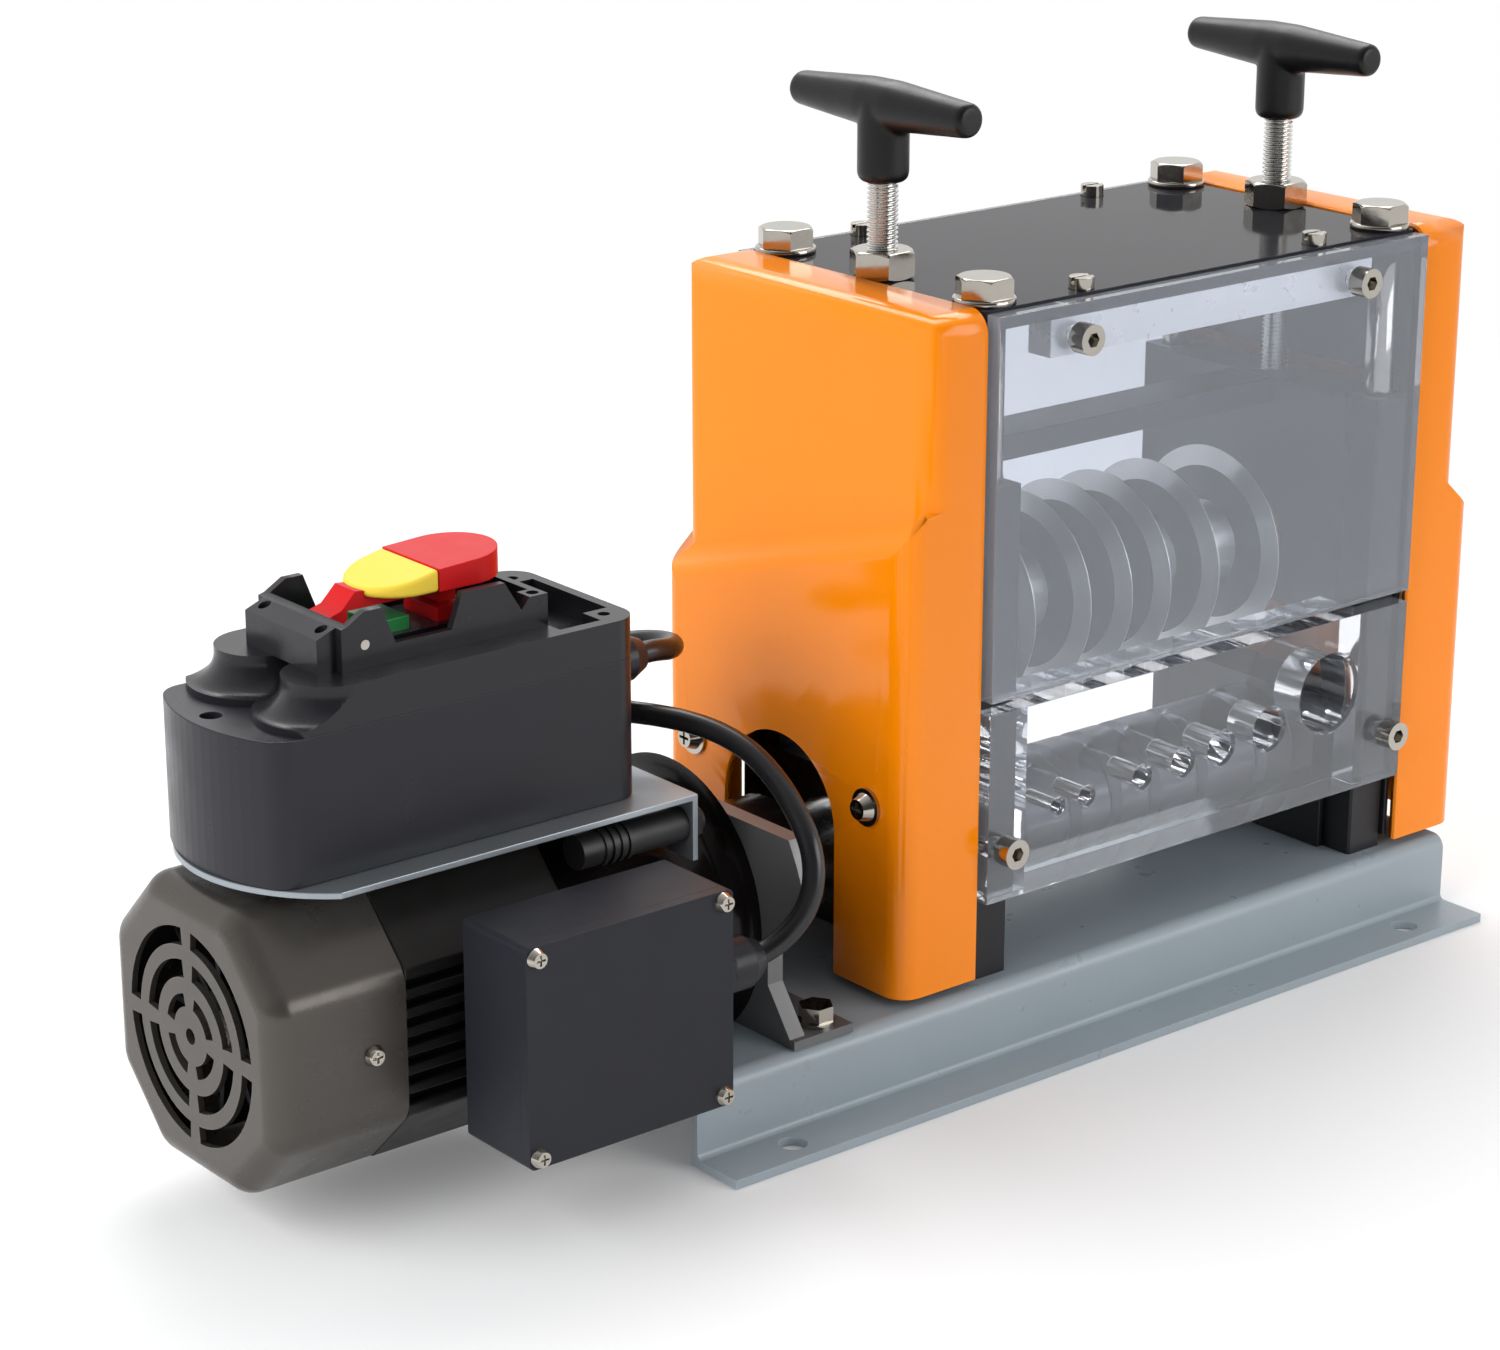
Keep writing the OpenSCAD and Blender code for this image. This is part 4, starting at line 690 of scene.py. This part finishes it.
def fan_cap():
    """The cover before its slots are cut."""
    rings = [[(x, y, z) for y, z in fan_outline(inset)] for x, inset in fan_profile()]
    count = len(rings[0])
    vertices = [q for r in rings for q in r]
    faces = [tuple(range(count)), tuple((len(rings) - 1) * count + i for i in range(count))]
    for k in range(len(rings) - 1):
        for i in range(count):
            j = (i + 1) % count
            faces.append((k * count + i, k * count + j, (k + 1) * count + j, (k + 1) * count + i))
    cap = new_object("fan_cap_rough", vertices, faces, "fan_cover_bronze")
    facing_out(cap)
    return cap


def fan_slots():
    """Shapes that cut three broken rings of slots and a hole at the hub."""
    slots = Parts()
    x0, x1 = FAN_LOW.x - 3.0 * MM, FAN_LOW.x + 5.0 * MM
    for inner, outer in FAN_SLOTS_MM:
        gap = math.degrees(math.asin(SPOKE_HALF_MM / ((inner + outer) / 2)))
        for k in range(4):
            slots.add(*ring_sector(inner * MM, outer * MM, 90 * k + gap, 90 * k + 90 - gap, x0, x1))
    count = 24
    turns = [2 * math.pi * i / count for i in range(count)]
    hub = [(HUB_HOLE * math.cos(a), HUB_HOLE * math.sin(a)) for a in turns]
    wall = [(i, (i + 1) % count, count + (i + 1) % count, count + i) for i in range(count)]
    slots.add([(x, y, FAN_MIDDLE + z) for x in (x0, x1) for y, z in hub],
              [tuple(range(count)), tuple(range(count, 2 * count))] + wall)
    cutter = slots.build("fan_slots_rough", "fan_cover_bronze")
    facing_out(cutter)
    return cutter


def make_fan_cover():
    """Cover of the fan: a rounded octagonal cap with slots."""
    cap, cutter = fan_cap(), fan_slots()
    cut = cap.modifiers.new("slots", "BOOLEAN")
    cut.operation, cut.solver, cut.object = "DIFFERENCE", "EXACT", cutter
    cover = from_mesh("fan_cover_pressed", solid_of(cap), "fan_cover_bronze")
    bpy.data.objects.remove(cutter)
    soften(cover, 0.35 * MM)
    stand_in(cover, "fan_cover")


make_plate_bolts()
make_lock_nuts()
make_screws()
make_handles()
make_fan_cover()


# Motor lead: one turn down from the switch box's gland, then in a bow to the junction box's gland

LEAD_FROM_MM = Vector((-150.35, -2.0, 144.0))
LEAD_TO_MM = Vector((-159.95, -68.5, 66.0))
CURL_MM = 18.0
CURL_DROP_MM = 15.0
LEAD_OVER_MM = [(-4, 8.5, -16.2), (1, -1, -17), (7, -9.5, -17.5), (12.5, -18.5, -18.5), (17, -28.5, -20.5),
                (19.8, -39, -24), (21, -49, -29.5), (21, -58, -36)]
LEAD_DOWN_MM = [(30, -0.5, 32.5), (28.5, -4.5, 22), (24.5, -5, 12.5), (18, -3, 5), (10, -0.4, 0.6)]


def lead_route():
    middle = LEAD_FROM_MM + Vector((12.0, CURL_MM, 0.0))
    curl = [middle + Vector((CURL_MM * math.cos(math.radians(a)), CURL_MM * math.sin(math.radians(a)),
                             -CURL_DROP_MM * (a + 90) / 270)) for a in range(-90, 181, 30)]
    over = [LEAD_FROM_MM + Vector(q) for q in LEAD_OVER_MM]
    down = [LEAD_TO_MM + Vector(q) for q in LEAD_DOWN_MM]
    return [LEAD_FROM_MM] + curl + over + down + [LEAD_TO_MM]


def smooth_route(points, steps):
    """Points of a smooth curve through the route, the same one that the solid follows."""
    p = [Vector(q) for q in points]
    last = len(p) - 1
    made = []
    for i in range(last):
        a, b, c, d = p[max(i - 1, 0)], p[i], p[i + 1], p[min(i + 2, last)]
        for k in range(steps):
            u = k / steps
            made.append(0.5 * (2 * b + (c - a) * u + (2 * a - 5 * b + 4 * c - d) * u ** 2
                               + (3 * b - a - 3 * c + d) * u ** 3))
    return made + [p[last]]


def make_lead():
    radius = 3.5 * MM
    route = [q * MM for q in smooth_route(lead_route(), 6)]
    curve = bpy.data.curves.new("motor_lead_tube", "CURVE")
    curve.dimensions = "3D"
    curve.bevel_depth = radius
    curve.bevel_resolution = 6
    curve.use_fill_caps = True
    line = curve.splines.new("POLY")
    line.points.add(len(route) - 1)
    for point, q in zip(line.points, route):
        point.co = (*q, 1.0)
    line.use_smooth = True
    lead = bpy.data.objects.new("motor_lead_tube", curve)
    SCENE.collection.objects.link(lead)
    curve.materials.append(PAINT["lead_rubber"])
    stand_in(lead, "motor_lead")


make_lead()


# Room and light


def make_floor():
    """Pale floor that takes the object's shadow near it and is plain white further off."""
    f = Finish("studio_floor")
    rays = f.tree.nodes.new("ShaderNodeLightPath")

    def either(x, y):
        made = f.tree.nodes.new("ShaderNodeMath")
        made.operation = "MAXIMUM"
        f.link(x, made.inputs[0])
        f.link(y, made.inputs[1])
        return made.outputs["Value"]

    seen = either(either(rays.outputs["Is Camera Ray"], rays.outputs["Is Transmission Ray"]),
                  rays.outputs["Is Glossy Ray"])
    span = f.tree.nodes.new("ShaderNodeVectorMath")
    span.operation = "LENGTH"
    f.link(f.coords, span.inputs[0])
    shadow_reach, white_from = 0.4, 1.0
    far = f.between(span.outputs["Value"], shadow_reach, white_from, 0.0, 1.0)
    f.link(f.mix(far, srgb(238, 238, 238), (0.0, 0.0, 0.0, 1.0)), f.shader.inputs["Base Color"])
    lift = f.between(far, 0.0, 1.0, 0.08, 1.0)
    shown = f.tree.nodes.new("ShaderNodeMath")
    shown.operation = "MULTIPLY"
    f.link(lift, shown.inputs[0])
    f.link(seen, shown.inputs[1])
    f.set(Roughness=0.8, Specular_IOR_Level=0.0, Emission_Color=(1.0, 1.0, 1.0, 1.0))
    f.link(shown.outputs["Value"], f.shader.inputs["Emission Strength"])
    half, level = 9.0, CAD_LOW.z - 0.0002
    corners = [(-half, -half, level), (half, -half, level), (half, half, level), (-half, half, level)]
    PAINT["studio_floor"] = f.material
    new_object("studio_floor", corners, [(0, 1, 2, 3)], "studio_floor")


def make_world():
    """White for what the camera sees, mirrors show a white room with a greyer near side, and dim light for the rest."""
    world = bpy.data.worlds.new("studio")
    SCENE.world = world
    world.use_nodes = True
    tree = world.node_tree
    tree.nodes.clear()
    out = tree.nodes.new("ShaderNodeOutputWorld")
    rays = tree.nodes.new("ShaderNodeLightPath")
    coords = tree.nodes.new("ShaderNodeTexCoord")

    def background(colour, strength):
        made = tree.nodes.new("ShaderNodeBackground")
        made.inputs["Color"].default_value = colour
        made.inputs["Strength"].default_value = strength
        return made

    def choose(factor, a, b):
        made = tree.nodes.new("ShaderNodeMixShader")
        tree.links.new(factor, made.inputs[0])
        tree.links.new(a.outputs[0], made.inputs[1])
        tree.links.new(b.outputs[0], made.inputs[2])
        return made

    away = tree.nodes.new("ShaderNodeVectorMath")
    away.operation = "DOT_PRODUCT"
    away.inputs[1].default_value = (0.55, 0.8, -0.1)
    tree.links.new(coords.outputs["Generated"], away.inputs[0])
    ramp = tree.nodes.new("ShaderNodeMapRange")
    for key, v in zip(("From Min", "From Max", "To Min", "To Max"), (-0.8, 0.3, 0.08, 1.0)):
        ramp.inputs[key].default_value = v
    tree.links.new(away.outputs["Value"], ramp.inputs["Value"])
    mirrored = background((1.0, 1.0, 1.0, 1.0), 1.0)
    tree.links.new(ramp.outputs["Result"], mirrored.inputs["Strength"])
    white = background((1.0, 1.0, 1.0, 1.0), 1.0)
    dim = background((0.96, 0.98, 1.0, 1.0), 0.42)
    lit = choose(rays.outputs["Is Glossy Ray"], dim, mirrored)
    lit = choose(rays.outputs["Is Transmission Ray"], lit, white)
    lit = choose(rays.outputs["Is Camera Ray"], lit, white)
    tree.links.new(lit.outputs[0], out.inputs["Surface"])


def make_lamp(name, place, size, power, mirrored):
    """A soft lamp that faces the middle of the object, seen in mirror surfaces or not."""
    target = Vector((-0.05, 0.0, 0.13))
    data = bpy.data.lights.new(name, "AREA")
    data.shape = "RECTANGLE"
    data.size, data.size_y = size
    data.energy = power
    lamp = bpy.data.objects.new(name, data)
    SCENE.collection.objects.link(lamp)
    lamp.visible_glossy = mirrored
    lamp.location = place
    lamp.rotation_mode = "QUATERNION"
    lamp.rotation_quaternion = (target - Vector(place)).to_track_quat("-Z", "Y")


make_floor()
make_world()
make_lamp("left_softbox", (-1.5, 0.15, 0.72), (1.7, 1.3), 26.0, mirrored=False)
make_lamp("top_softbox", (0.5, 0.7, 1.35), (1.2, 1.0), 18.0, mirrored=True)
make_lamp("front_fill", (0.7, -1.5, 0.65), (1.3, 0.9), 13.0, mirrored=True)
SCENE.view_settings.view_transform = "Standard"
